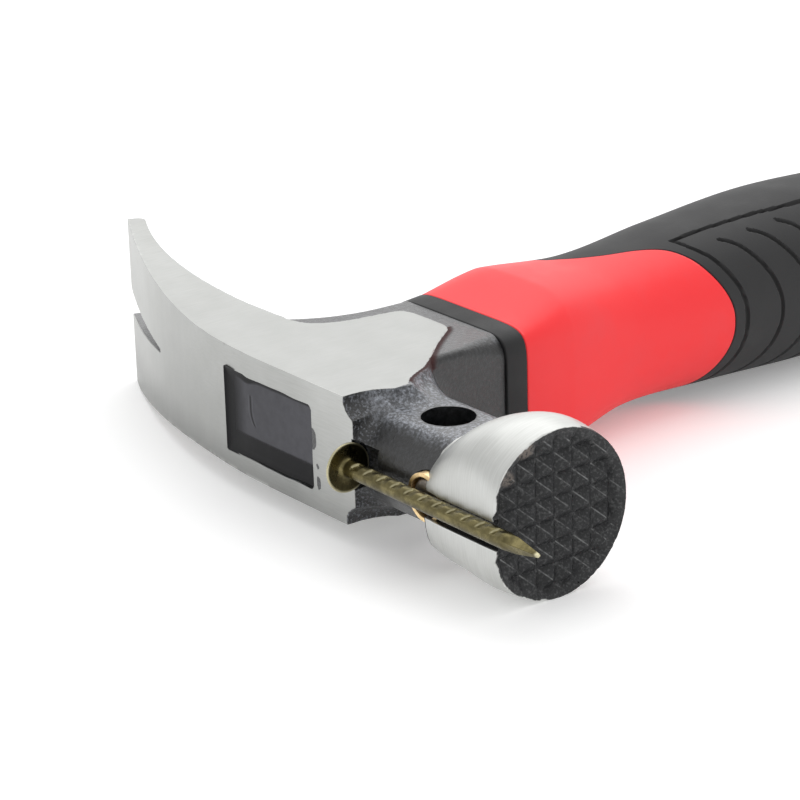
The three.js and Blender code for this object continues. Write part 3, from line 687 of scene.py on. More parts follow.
def ground_zones(s, points):
    """How far a point of the head lies in the ground zones, in millimetres, negative where paint stays:
    on the cheeks and claw sides, on the top curve of crown and claw, and on the bell behind its face."""
    x, y, z = points.T
    front = crown_front(s, y, z)
    cheek = np.abs(z) - half_width(s, x) + GROUND_DEPTH
    cheek = np.minimum(cheek, GROUND_DEPTH - np.maximum(outline_distance(x, y, crown_outline(s)), 0))
    cheek = np.minimum(cheek, front - x)
    top = claw_curves(s)[0][::-1]
    top_y = np.interp(x, top[:, 0], top[:, 1])
    slope = np.interp(x, top[:, 0], np.gradient(top[:, 1], top[:, 0]))
    crown = GROUND_DEPTH - np.abs(y - top_y) / np.sqrt(1 + slope ** 2)
    for middle, height, half_length, half_height in SMEARS:
        crown = np.minimum(crown, np.hypot((x - middle) / half_length, (z - height) / half_height) - 1)
    crown = np.where(x < s.hole_reach, np.minimum(crown, front - FRONT_EDGE - x), -1)
    rim = s.face_reach - np.where(y > WIDE_FACE_FROM, WIDE_FACE_EDGE, FACE_EDGE)
    bell = BELL_GROUND_DEPTH - np.abs(bell_side(s, x, y, z))
    bell = np.minimum(np.minimum(bell, x - bell_back(s, y) - BACK_EDGE), rim - x)
    return cheek, crown, bell


def head_values(s, points):
    """Numbers at the head's points that its finish reads, by name."""
    x, y, z = points.T
    cheek, crown, bell = ground_zones(s, points)
    on_bell = x > bell_back(s, 0) - BELL_ZONE_LEAD
    height = np.clip(z / (s.thickness / 2), -1, 1)
    # Painted reflection on the top: lighter with the height, with more painted shades along X and Z
    top_painted_reflection = TOP_TONE[0] + TOP_TONE[1] * height
    for amount, axis, start, run in TOP_PAINTED_SHADES:
        top_painted_reflection += amount * rise(points[:, axis], start, run)
    ground_painted_reflection = np.where(cheek > crown, CHEEK_TONE, top_painted_reflection)
    # Dust and a painted sheen on the neck's flat top, left out of the hole
    dust = soft_field(points, DUST_AND_SHEEN_EDGES)
    dust *= np.hypot(x - s.hole_reach, y) > s.hole_diameter / 2 + HOLE_EDGE
    from_line = np.abs(outline_distance(x, y, crown_outline(s)) - PRIMER_GAP) / PRIMER_WIDTH
    by_tongue = (x > PRIMER_FROM[0]) & (y > PRIMER_FROM[1]) & (np.abs(z) > PRIMER_FROM[2])
    out = np.hypot(y - s.bell_shift, z + s.bell_drop)
    from_spots = np.min([np.hypot(y - across, z - up) / radius for across, up, radius in BARE_SPOTS], axis=0)
    return {
        "ground": np.maximum(np.maximum(cheek, crown), bell),
        "cheek": (cheek > crown) & (cheek > -1),
        "bell": on_bell,
        # tone: painted reflection of each ground zone
        "tone": np.where(on_bell, BELL_TONE[0] + BELL_TONE[1] * height, ground_painted_reflection),
        # Paint tone, with dust and a painted sheen on the neck's flat top
        "dust_and_sheen": np.where(x > FRONT_PAINT_FROM, FRONT_PAINT + DUST_AND_SHEEN * dust, BACK_PAINT),
        "struck": rise(x, s.face_reach - STRUCK_DEPTH, STRUCK_RUN),
        "primed": np.clip(1.5 - from_line, 0, 1) * by_tongue,
        "coarse": soft_field(points, COARSE_EDGES) * (x > COARSE_FROM),
        "pointed": rise(out, s.face_diameter / 2 - POINTED_EDGE, -POINTED_RUN),
        "bared": np.clip(2 * (1.3 - from_spots), 0, 1),
    }


# Finishes

MIX_SOCKETS = {"FLOAT": 2, "VECTOR": 4, "RGBA": 6}


def shade(colour, factor=1):
    """Colour made darker or lighter by a factor, with full opacity."""
    return [min(channel * factor, 1) for channel in colour] + [1]


class Finish:
    """Procedural material in the making. Each method adds a node and gives the output to use."""

    def __init__(self, name):
        self.material = bpy.data.materials.new(name)
        self.material.use_nodes = True
        self.tree = self.material.node_tree

    def node(self, kind, inputs=None, **settings):
        """Adds a node. Inputs map a socket's name or number to a value, or to the output that feeds it."""
        node = self.tree.nodes.new(kind)
        for key, value in settings.items():
            setattr(node, key, value)
        self.feed(node, inputs or {})
        return node

    def feed(self, node, inputs):
        """Sets or links sockets of a node."""
        for key, value in inputs.items():
            if isinstance(value, bpy.types.NodeSocket):
                self.tree.links.new(value, node.inputs[key])
            else:
                node.inputs[key].default_value = value

    def show(self, inputs):
        """Sets or links sockets of the shader that shows, and gives the finished material."""
        self.feed(self.tree.nodes["Principled BSDF"], inputs)
        return self.material

    @cached_property
    def place(self):
        """Coordinates fixed to the piece."""
        return self.node("ShaderNodeTexCoord").outputs["Object"]

    def stretched(self, scale, turn=0):
        """Coordinates scaled along each axis, then turned about Z."""
        inputs = {"Vector": self.place, "Rotation": (0, 0, turn), "Scale": scale}
        return self.node("ShaderNodeMapping", inputs).outputs[0]

    def value(self, attribute):
        """Number that the mesh holds at its points."""
        return self.node("ShaderNodeAttribute", attribute_name=attribute).outputs["Fac"]

    def noise(self, size, detail=2, roughness=0.5, place=None):
        """Noise whose features have a size in millimetres."""
        inputs = {"Vector": self.place if place is None else place, "Scale": 1 / (size * MM),
                  "Detail": detail, "Roughness": roughness}
        return self.node("ShaderNodeTexNoise", inputs).outputs["Fac"]

    def maths(self, operation, *values):
        """Number worked out from others."""
        return self.node("ShaderNodeMath", dict(enumerate(values)), operation=operation).outputs[0]

    def ranged(self, value, low, high, to_low=0, to_high=1):
        """Number carried from one range into another and held at its ends."""
        inputs = {"Value": value, "From Min": low, "From Max": high, "To Min": to_low, "To Max": to_high}
        return self.node("ShaderNodeMapRange", inputs).outputs[0]

    def mix(self, share, a, b, kind="RGBA"):
        """Blend of two colours, vectors or numbers."""
        first = MIX_SOCKETS[kind]
        node = self.node("ShaderNodeMix", {0: share, first: a, first + 1: b}, data_type=kind)
        return node.outputs[first // 2 - 1]

    def ramp(self, value, low, low_colour, high, high_colour):
        """Colour between two that are reached at a low and a high value."""
        node = self.node("ShaderNodeValToRGB", {"Fac": value})
        for end, place, colour in zip(node.color_ramp.elements, (low, high), (low_colour, high_colour)):
            end.position = place
            end.color = colour
        return node.outputs[0]

    def scaled(self, colour, factor):
        """Colour times a number."""
        return self.node("ShaderNodeVectorMath", {0: colour, "Scale": factor}, operation="SCALE").outputs[0]

    def bump(self, height, strength, distance):
        """Normal of a relief whose height is given in millimetres."""
        inputs = {"Height": height, "Strength": strength, "Distance": distance * MM}
        return self.node("ShaderNodeBump", inputs).outputs[0]


def forged_steel(colours, s):
    """Medium-carbon steel forging. Cheeks, claw and bell are ground bright: fine lines along the belt's
    travel and soft cloudy changes of tone, with a painted reflection tone in each zone. The rest keeps a
    grainy forged skin under black lacquer, with dust and a painted sheen on the neck, painted glints in the
    crown's hollow, and a red-brown primer line along the ground cheek. The milled face is blackened, with one
    worn ridge on each point that is also painted bright as a highlight."""
    f = Finish("ground_and_lacquered_forged_steel")
    ground, cheek, bell, painted_reflection_tone, dust_and_sheen = map(f.value, ("ground", "cheek", "bell", "tone", "dust_and_sheen"))
    struck, primed, coarse, pointed, bared = map(f.value, ("struck", "primed", "coarse", "pointed", "bared"))
    bright = f.ranged(f.maths("MULTIPLY_ADD", f.noise(0.8, 3), 0.12, ground), 0.04, 0.1)
    # Grinding lines 0.2 mm apart and about 4 mm long: along X on the top, across the cheeks, round the bell
    drawn = f.mix(cheek, f.stretched((0.05, 1, 1)), f.stretched((1, 0.05, 1), -0.35), "VECTOR")
    drawn = f.mix(bell, drawn, f.stretched((1, 0.04, 0.04)), "VECTOR")
    lines = f.noise(0.2, 4, 0.6, drawn)
    tone = f.maths("MULTIPLY_ADD", lines, 0.75, f.maths("MULTIPLY", f.noise(6, 4), 0.25))
    steel = f.ramp(tone, 0.3, shade(colours.steel_dark), 0.7, shade(colours.steel))
    # Rare dark pits about 0.5 mm wide, one in each 9 mm
    pits = f.node("ShaderNodeTexVoronoi", {"Vector": f.place, "Scale": 1 / (9 * MM)})
    pit = f.ranged(pits.outputs["Distance"], 0.02, 0.035, 0.6, 0)
    # Ground steel scaled by the painted reflection tone of its zone
    polished = f.mix(pit, f.scaled(steel, painted_reflection_tone), shade(colours.pit))
    # Forged grain under the paint, 0.55 mm across, with painted glints 0.4 mm apart in the crown's hollow
    grain = f.noise(0.55, 4, 0.65)
    paint = f.ramp(grain, 0.45, shade(colours.lacquer, 0.5), 0.68, shade(colours.lacquer, 4))
    # Painted glints: spots of lighter lacquer colour
    painted_glint = f.maths("MULTIPLY", f.ranged(f.noise(0.4), 0.52, 0.64), coarse)
    # Paint scaled by its tone, which holds dust and a painted sheen on the neck
    paint = f.mix(painted_glint, f.scaled(paint, dust_and_sheen), shade(colours.lacquer, 15))
    paint = f.mix(primed, paint, shade(colours.primer))
    # Milled face: scale 0.4 mm across, worn ridges painted bright as highlights, and spots where the finish
    # has come off
    speck = f.noise(0.4, 3)
    face = f.mix(f.ranged(speck, 0.5, 0.7, 0, 0.25), shade(colours.milled), shade(colours.ridge))
    face = f.mix(worn_ridge_highlights(f, s, pointed), face, shade(colours.ridge))
    face = f.mix(f.maths("MULTIPLY", bared, f.ranged(speck, 0.38, 0.52)), face, shade(colours.bared))
    dull = f.mix(primed, f.mix(struck, 0.36, 0.5, "FLOAT"), 0.9, "FLOAT")
    rough = f.mix(bright, dull, f.ranged(lines, 0.3, 0.7, 0.34, 0.5), "FLOAT")
    skin = f.bump(grain, f.ranged(coarse, 0, 1, 0.5, 1), 0.25)
    # Gloss coat of the lacquer, which the ground steel, the milled face and the primer line lack
    bare = f.maths("MAXIMUM", f.maths("MAXIMUM", bright, struck), primed)
    return f.show({
        "Base Color": f.mix(bright, f.mix(struck, paint, face), polished),
        "Metallic": bright,
        "Roughness": rough,
        "Normal": f.mix(bright, skin, f.bump(lines, 0.25, 0.03), "VECTOR"),
        "Coat Weight": f.ranged(bare, 0, 1, 0.5, 0),
        "Coat Roughness": 0.2,
        "Coat Normal": skin,
    })


def worn_ridge_highlights(f, s, pointed):
    """Mask of the worn ridges on the milled face, one hip of each point, painted bright as highlights as well
    as worn. Within a point, u and v run from its middle across Y and Z, and a ridge lies where u + v is near
    nothing on the side where v is above u."""
    pitch = s.mill_pitch * MM
    corner = ORIGIN + np.array([0, *MILL_PHASE]) * MM
    from_corner = f.node("ShaderNodeVectorMath", {0: f.place, 1: tuple(-corner)}, operation="ADD").outputs[0]
    axes = f.node("ShaderNodeSeparateXYZ", {0: from_corner}).outputs
    u, v = (f.maths("SUBTRACT", f.maths("WRAP", axes[axis], pitch, 0), pitch / 2) for axis in "YZ")
    thin = f.ranged(f.maths("ABSOLUTE", f.maths("ADD", u, v)), 0.02 * MM, 0.18 * MM, 1, 0)
    side = f.ranged(f.maths("SUBTRACT", v, u), -1 * MM, 0.2 * MM)
    # Wear changes from point to point, about 3 mm across, and breaks the ridges up at 0.5 mm
    worn = f.ranged(f.maths("ADD", f.noise(3, 1), f.noise(0.5)), 0.82, 1.3, 0.05, 1)
    mask = f.maths("MULTIPLY", f.maths("MULTIPLY", thin, side), pointed)
    return f.maths("MULTIPLY", mask, worn)


def poured_resin(colours):
    """Black epoxy, poured and set: deep gloss, a painted reflection that makes its pad over the core paler, a
    faint ripple and a little dust."""
    f = Finish("poured_black_epoxy")
    dust = f.noise(1.5, 4)
    # Painted reflection on the pad, varied a little by the dust
    painted_pad_reflection = f.maths("MULTIPLY", f.value("pad"), f.ranged(dust, 0.3, 0.7, 0.9, 1.1))
    return f.show({
        "Base Color": f.mix(painted_pad_reflection, shade(colours.resin), shade(colours.resin_painted_reflection)),
        "Roughness": f.ranged(dust, 0, 1, 0.08, 0.2),
        "Normal": f.bump(f.noise(4), 0.15, 0.2),
        "Specular IOR Level": 0.1,
    })


def moulded(name, colour, scuffed, grain, low, high, relief, dark=None):
    """Moulded plastic or rubber: an even colour with soft scuffs, and the fine grain of the mould's wall.
    Where an attribute is named, painted shade darkens its grooves."""
    f = Finish(name)
    cloud = f.noise(12, 6, 0.6)
    tint = f.mix(f.ranged(cloud, 0.45, 0.75), shade(colour), scuffed)
    if dark:
        # Painted shade in the grooves, set by their depth
        tint = f.mix(f.value(dark), tint, shade(colour, 0.25))
    return f.show({
        "Base Color": tint,
        "Roughness": f.ranged(cloud, 0.3, 0.7, low, high),
        "Normal": f.bump(f.noise(grain, 3), relief, 0.05),
    })


def worn_metal(name, colour, dark, low, high, size, films=()):
    """Plain metal with tarnish in patches of a given size: tone and gloss change together. Each film is an
    attribute and the colour that it brings, such as plating worn off along edges, painted glints and
    highlights, and painted shade."""
    f = Finish(name)
    patch = f.noise(size, 5, 0.6)
    tint = f.mix(f.ranged(patch, 0.35, 0.65), shade(colour, dark), shade(colour, 1.15))
    for attribute, film in films:
        tint = f.mix(f.value(attribute), tint, shade(film))
    return f.show({
        "Base Color": tint,
        "Roughness": f.ranged(patch, 0.3, 0.7, high, low),
        "Metallic": 1,
        "Normal": f.bump(patch, 0.2, 0.05),
    })


# Operators

class HammerHeadOperator(Operator):
    """Make the forged head with claw, crown, socket, neck and bell."""
    bl_idname = "hammer.head"
    bl_label = "Head"

    def execute(self, context):
        s = in_millimetres(context.scene.hammer_head)
        low, high = node_box("head")
        points, quads = skin_of_field(head_field(s), low - FIELD_MARGIN, high + FIELD_MARGIN, s.voxel)
        finish = forged_steel(context.scene.hammer_colours, s)
        piece = add_piece("forged_head", points, [quads], finish, "hammer", "head", 38)
        for name, values in head_values(s, points).items():
            add_value(piece, name, values)
        return {"FINISHED"}


# Surface of the resin: how far it goes into the eye's walls, its dip below the top, and the lip up the walls
RESIN_OVERLAP = 0.25
RESIN_DIP = 0.55
LIP_RISE = 0.25
LIP_REACH = 0.7
RESIN_DEPTHS = [1.5, 3, 4.5]
# Raised pad over the core's end: its edge on the claw's side, that edge's bow and softness, then its rise,
# the run over which it fades at the walls, and how it falls towards the face
PAD_EDGE = -6.2
PAD_BOW = 0.04
PAD_SOFTNESS = 0.8
PAD_RISE = 0.1
PAD_FADE = 1.5
PAD_FALL = 0.015
# Painted reflection, a pale field on the pad: axis, start and run of its soft edges, its upper edge with a
# dip, and how pale it is at the eye's middle and how that changes along X
PALE_EDGES = [(0, -9.6, 3.2), (2, -3.5, 0.3), (0, 10.6, -0.4)]
PALE_TOP = 5.85
PALE_TOP_DIP = 0.6
PALE_LEVEL = (0.86, 0.013)
# Crease in the pad, a painted dark line with painted highlights on the lips beside it: place across X, bow,
# middle across Z, half length and half width, and the lips beside it
CREASE_PLACE = -5.2
CREASE_BOW = 0.9
CREASE_MIDDLE = 0.9
CREASE_REACH = 2.6
CREASE_WIDTH = 0.16
CREASE_LIP_GAP = 0.5
CREASE_LIP_WIDTH = 0.25
CREASE_LIP_LEVEL = 0.35


def pad_light(points):
    """Painted reflection on the resin: a pale field on the pad, with a painted dark crease between two lips
    painted as highlights.
    """
    x, _, z = points.T
    upper = PALE_TOP - PALE_TOP_DIP * np.exp(-((x + 6) / 2) ** 2)
    painted_pad_reflection = soft_field(points, PALE_EDGES) * rise(z, upper, -0.35) * (PALE_LEVEL[0] + PALE_LEVEL[1] * x)
    bow = CREASE_BOW * np.clip((1 - z) / 2.4, 0, 1.1) ** 2
    from_crease = np.abs(x - CREASE_PLACE - bow)
    crease = rise(np.abs(z - CREASE_MIDDLE), CREASE_REACH, -0.5)
    painted_pad_reflection *= 1 - crease * np.clip(1.6 - from_crease / CREASE_WIDTH, 0, 1)
    lip = np.clip(1 - np.abs(from_crease - CREASE_LIP_GAP) / CREASE_LIP_WIDTH, 0, 1)
    return painted_pad_reflection + CREASE_LIP_LEVEL * crease * lip


class HammerResinOperator(Operator):
    """Make the resin that fills the eye around the core's end."""
    bl_idname = "hammer.resin"
    bl_label = "Eye resin"

    def execute(self, context):
        s = in_millimetres(context.scene.hammer_head)
        angle = round_angles(240)
        half_length, half_across = s.eye_length / 2 + RESIN_OVERLAP, s.eye_width / 2 + RESIN_OVERLAP
        square = np.maximum(np.abs(np.cos(angle)) / half_length, np.abs(np.sin(angle)) / half_across)
        edge_x, edge_z = np.cos(angle) / square, np.sin(angle) / square
        share = np.linspace(0.02, 1, 90)[:, None]
        x, z = edge_x * share, edge_z * share
        # Surface: a shallow dish with a raised pad, its edge a logistic curve, and a lip on the walls
        wall = np.minimum(half_length - np.abs(x), half_across - np.abs(z))
        lip = LIP_RISE * np.exp(-wall / LIP_REACH)
        step = 1 / (1 + np.exp(-(x - PAD_EDGE + PAD_BOW * z ** 2) / PAD_SOFTNESS))
        pad = PAD_RISE * step * np.clip(wall / PAD_FADE, 0, 1) - PAD_FALL * np.clip(x, 0, None)
        top = np.stack([x, -s.crown_rise + RESIN_DIP - lip - pad, z], axis=-1)
        depth = np.array(RESIN_DEPTHS)[:, None]
        below = np.stack(np.broadcast_arrays(edge_x, depth - s.crown_rise, edge_z), axis=-1)
        rings = np.concatenate([top, below]) - np.array([s.eye_shift, 0, s.eye_drop])
        points, blocks = skin_of_rings(rings, False)
        finish = poured_resin(context.scene.hammer_colours)
        piece = add_piece("eye_filling", points, blocks, finish, "hammer", "eye_resin")
        # Painted reflection on the resin's pad
        add_value(piece, "pad", pad_light(points))
        return {"FINISHED"}


class HammerCoreOperator(Operator):
    """Finish the glass-fibre core, which the resin and the handle cover."""
    bl_idname = "hammer.core"
    bl_label = "Core"

    def execute(self, context):
        colour = context.scene.hammer_colours.fibre
        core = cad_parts["handle_core"].data
        core.materials.clear()
        finish = moulded("pultruded_glass_fibre", colour, shade(colour, 0.8), 0.4, 0.5, 0.65, 0.3)
        core.materials.append(finish)
        return {"FINISHED"}


HANDLE_PLACES = SOCKET_DEPTH + np.cumsum([0, 4.1, 9.6, 1.1, 15.2, 21, 23, 28, 30])
# Sections along the handle: middle across X, half width, half thickness and squareness, where 2 is an ellipse
HANDLE_SECTIONS = np.array([
    (1.85, 13.55, 9.95, 8),
    (1.9, 13.9, 10.45, 7),
    (0.85, 14.2, 12.85, 4.2),
    (0.65, 14.25, 13.0, 3.9),
    (-1, 13.6, 12.1, 2.5),
    (-2.7, 15, 13.3, 2.3),
    (-3.5, 16.4, 14.6, 2.2),
    (-3, 15.6, 13.9, 2.2),
    (-2.2, 16.6, 14.6, 2.3),
])
# Parting line of body and rubber seen from above: across X, then along Y from the head's end
PARTING = [(30, 90), (14.5, 57), (12.8, 52), (11.6, 49.6), (9.6, 47.5), (6.6, 45.4), (3.6, 42.8), (1.4, 38.8),
           (-0.6, 33.2), (-3.84, 27.4), (-7.7, 24.1), (-30, 17)]
PARTING_GUESS = 65.0
# Groove that borders the grip's pattern: across X, then along Y from its start, and across X where it ends
BORDER = [(2.25, 0), (1.85, 6.7), (2.25, 17.6), (2.95, 28.1)]
BORDER_END = 3.2
# Grooves across the grip: across X, then along Y from where the first and the later ones start
FIRST_GROOVE = [(2.25, 0), (5.1, 1.5), (7.6, 3.4), (9.8, 5), (11.4, 6.5), (12.4, 7.7), (13.2, 9)]
LATER_GROOVE = [(5.2, 0), (6.8, 2.2), (9.4, 4.4), (11.3, 6.2), (12.4, 7.6), (13.2, 9)]
LATER_START = 7.5
LATER_COUNT = 8
# From the end of the grooves to the end of the grip
PLAIN_END = 14
# How far the grip's inner skin closes in at the butt
INNER_CLOSE = 6
# How far the collar's start reaches back towards the socket
COLLAR_BACK = 0.25


def handle_values(y):
    """Section values at places along Y: cubic curves whose slopes are those of the neighbouring sections."""
    places, values = HANDLE_PLACES, HANDLE_SECTIONS
    slopes = np.empty_like(values)
    slopes[1:-1] = (values[2:] - values[:-2]) / (places[2:] - places[:-2])[:, None]
    slopes[0] = 1.5 * (values[1] - values[0]) / (places[1] - places[0]) - slopes[1] / 2
    slopes[-1] = 1.5 * (values[-1] - values[-2]) / (places[-1] - places[-2]) - slopes[-2] / 2
    first = np.clip(np.searchsorted(places, y) - 1, 0, len(places) - 2)
    run = (places[first + 1] - places[first])[..., None]
    share = ((y - places[first]) / run[..., 0])[..., None]
    ease = 3 * share ** 2 - 2 * share ** 3
    result = (1 - ease) * values[first] + ease * values[first + 1]
    result += run * share * ((1 - share) ** 2 * slopes[first] + (share ** 2 - share) * slopes[first + 1])
    return np.moveaxis(result, -1, 0)


def handle_rings(y, angle, inset):
    """Points of the handle: superellipse sections, |x/a|^n + |z/b|^n = 1, drawn in by an inset."""
    middle, half_x, half_z, squareness = handle_values(y)
    cosine, sine = np.cos(angle), np.sin(angle)
    x = middle + (half_x - inset) * np.sign(cosine) * np.abs(cosine) ** (2 / squareness)
    z = (half_z - inset) * np.sign(sine) * np.abs(sine) ** (2 / squareness)
    return np.stack([x, y + 0 * x, z], axis=-1)


def ring_rows(rows):
    """Places along Y and insets of the handle's rings, from parts whose rows may be of one number each."""
    places = [np.atleast_2d(place) for place, _ in rows]
    insets = [np.broadcast_to(inset, place.shape) for place, (_, inset) in zip(places, rows)]
    return np.concatenate(places), np.concatenate(insets)


def on_handle(curve):
    """Points on the upper half of the handle's outside over a curve of places across X and along Y:
    z = b (1 - |x/a|^n)^(1/n)."""
    x, y = curve.T
    middle, half_x, half_z, squareness = handle_values(y)
    inside = np.clip(np.abs(x - middle) / half_x, 0, 1)
    return np.stack([x, y, half_z * (1 - inside ** squareness) ** (1 / squareness)], axis=1)


def round_handle(curve):
    """Points on the upper half of the handle's outside along a curve that rises in X to the handle's side.
    Angles run down to the side, and the place along Y of each is found by iteration."""
    angle = np.linspace(np.pi / 2, 0, 120)
    y = np.full_like(angle, curve[0, 1])
    for _ in range(40):
        points = handle_rings(y, angle, 0.0)
        y = (y + np.interp(points[:, 0], curve[:, 0], curve[:, 1])) / 2
    return points[points[:, 0] >= curve[0, 0]]


def parting_place(x):
    """Place along Y of the parting line for places across X."""
    line = through(PARTING, 200)[::-1]
    return SOCKET_DEPTH + np.interp(x, line[:, 0], line[:, 1])


def parting_round(angle):
    """Place along Y where the parting line meets the handle's outside at angles, found by iteration."""
    y = np.full_like(angle, PARTING_GUESS)
    for _ in range(60):
        y = 0.6 * y + 0.4 * parting_place(handle_rings(y, angle, 0.0)[..., 0])
    return y


class HammerCollarOperator(Operator):
    """Make the black collar between the head and the handle's body."""
    bl_idname = "hammer.collar"
    bl_label = "Collar"

    def execute(self, context):
        s = in_millimetres(context.scene.hammer_handle)
        angle = round_angles(240)
        turn = quarter_turn(6)
        start, end, r = COLLAR_LOW[1] - COLLAR_BACK, COLLAR_HIGH[1] + s.collar_extra, s.edge
        rows = [
            (start + 0 * angle, s.wall - s.collar_proud),
            (start + r - r * np.cos(turn) + 0 * angle, r - r * np.sin(turn) - s.collar_proud),
            (end - r + r * np.sin(turn) + 0 * angle, r - r * np.cos(turn) - s.collar_proud),
            (end + 0 * angle, s.wall - s.collar_proud),
        ]
        y, inset = ring_rows(rows)
        points, blocks = skin_of_rings(handle_rings(y, angle, inset), True)
        colour = context.scene.hammer_colours.collar
        finish = moulded("moulded_black_polypropylene", colour, shade(colour, 1.3), 0.35, 0.5, 0.7, 0.4)
        add_piece("collar_ring", points, blocks, finish, "hammer", "collar")
        return {"FINISHED"}


class HammerBodyOperator(Operator):
    """Make the red moulded body, which runs on under the rubber."""
    bl_idname = "hammer.body"
    bl_label = "Body"

    def execute(self, context):
        s = in_millimetres(context.scene.hammer_handle)
        angle = round_angles(256)
        turn = quarter_turn(6)
        share = np.linspace(0, 1, 130)[:, None]
        start = COLLAR_HIGH[1] + s.collar_extra
        end = parting_round(angle) - s.seam / 2
        butt = BODY_END - s.butt_round
        r = s.edge
        under = s.wall + s.seam
        rows = [
            (start + 0 * angle, under),
            (start + r - r * np.cos(turn) + 0 * angle, r - r * np.sin(turn)),
            (start + r + (end - start - 2 * r) * share, 0),
            (end - r + r * np.sin(turn), r - r * np.cos(turn)),
            (end, under),
            (end + (butt - end) * share[1::6], under),
            (butt + s.butt_round * np.sin(turn) + 0 * angle, under + s.butt_round * (1 - np.cos(turn))),
        ]
        y, inset = ring_rows(rows)
        points, blocks = skin_of_rings(handle_rings(y, angle, inset), False)
        colours = context.scene.hammer_colours
        scuffed = shade(colours.red_scuff)
        finish = moulded("moulded_red_polypropylene", colours.red, scuffed, 0.3, 0.42, 0.55, 0.25)
        add_piece("red_body", points, blocks, finish, "hammer", "handle_body")
        return {"FINISHED"}


class HammerGripOperator(Operator):
    """Make the rubber grip with its grooves."""
    bl_idname = "hammer.grip"
    bl_label = "Grip"

    def execute(self, context):
        s = in_millimetres(context.scene.hammer_handle)
        # Points lie closer together above and below, where a groove runs along the grip
        even = round_angles(288)
        angle = even + 0.3 * np.sin(2 * even)
        turn, butt_turn = quarter_turn(6), quarter_turn(14)
        share = np.concatenate([np.linspace(0, 0.45, 210)[:-1], np.linspace(0.45, 1, 50)])[:, None]
        start = parting_round(angle) + s.seam / 2
        butt = GRIP_END - s.butt_round
        inner_butt = GRIP_END - s.wall
        r = s.edge
        inside = [
            (inner_butt + 0 * angle, s.wall + INNER_CLOSE),
            (inner_butt + (start - inner_butt) * share[::10], s.wall),
        ]
        outside = [
            (start + r - r * np.cos(turn), r - r * np.sin(turn)),
            (start + r + (butt - start - r) * share, 0),
            (butt + s.butt_round * np.sin(butt_turn) + 0 * angle, s.butt_round * (1 - np.cos(butt_turn))),
        ]
        y, inset = ring_rows(inside + outside)
        depth = self.grooves(s, handle_rings(y, angle, inset))
        depth[:len(ring_rows(inside)[0])] = 0
        points, blocks = skin_of_rings(handle_rings(y, angle, inset + depth), False)
        colours = context.scene.hammer_colours
        scuffed = shade(colours.rubber_scuff)
        finish = moulded("moulded_black_rubber", colours.rubber, scuffed, 0.3, 0.55, 0.7, 0.4, "groove")
        piece = add_piece("rubber_grip", points, blocks, finish, "hammer", "grip")
        # Groove depth, which the finish turns into painted shade
        add_value(piece, "groove", np.concatenate([depth.ravel() / s.groove_depth, [0, 0]]))
        return {"FINISHED"}

    @staticmethod
    def grooves(s, rings):
        """Depth of the grooves at each point: round-bottomed, along curves on the handle's surface."""
        last = GRIP_END - PLAIN_END
        border = np.concatenate([np.array(BORDER) + (0, s.border_start), [(BORDER_END, last)]])
        first = through(FIRST_GROOVE, 60) + (0, s.border_start)
        lines = [on_handle(through(border, 60)), round_handle(first)]
        for number in range(LATER_COUNT):
            place = s.border_start + LATER_START + number * s.groove_gap
            lines.append(round_handle(through(LATER_GROOVE, 60) + (0, place)))
        mirrored = rings * np.array([1, 1, 0]) + np.abs(rings) * np.array([0, 0, 1])
        nearest = np.full(rings.shape[:2], np.inf)
        for line in lines:
            for a, b in zip(line[:-1], line[1:]):
                share = np.clip(((mirrored - a) @ (b - a)) / ((b - a) @ (b - a)), 0, 1)
                gap = np.linalg.norm(mirrored - a - share[..., None] * (b - a), axis=-1)
                nearest = np.minimum(nearest, gap)
        depth = 1 - (nearest / (s.groove_width / 2)) ** 2
        return s.groove_depth * np.sqrt(np.clip(depth, 0, 1)) * (rings[..., 1] < last + s.groove_width)


def turned(profile, columns):
    """Rings of a profile, pairs of place and radius, turned round the X axis."""
    angle = round_angles(columns)
    place, radius = profile[:, :1], profile[:, 1:]
    return np.stack([place + 0 * angle, radius * np.cos(angle), radius * np.sin(angle)], axis=-1)


# Bush: round of its edges and the flat beside each round. Magnet: gap in the bush, how far it stands out of
# its solid, depth of the round at its face's edge, and radius of the last ring at its back
BUSH_EDGE = 0.1
BUSH_FLAT = 0.04
MAGNET_GAP = 0.2
MAGNET_PROUD = 0.25
MAGNET_ROUND = 0.9
MAGNET_BACK = 0.2


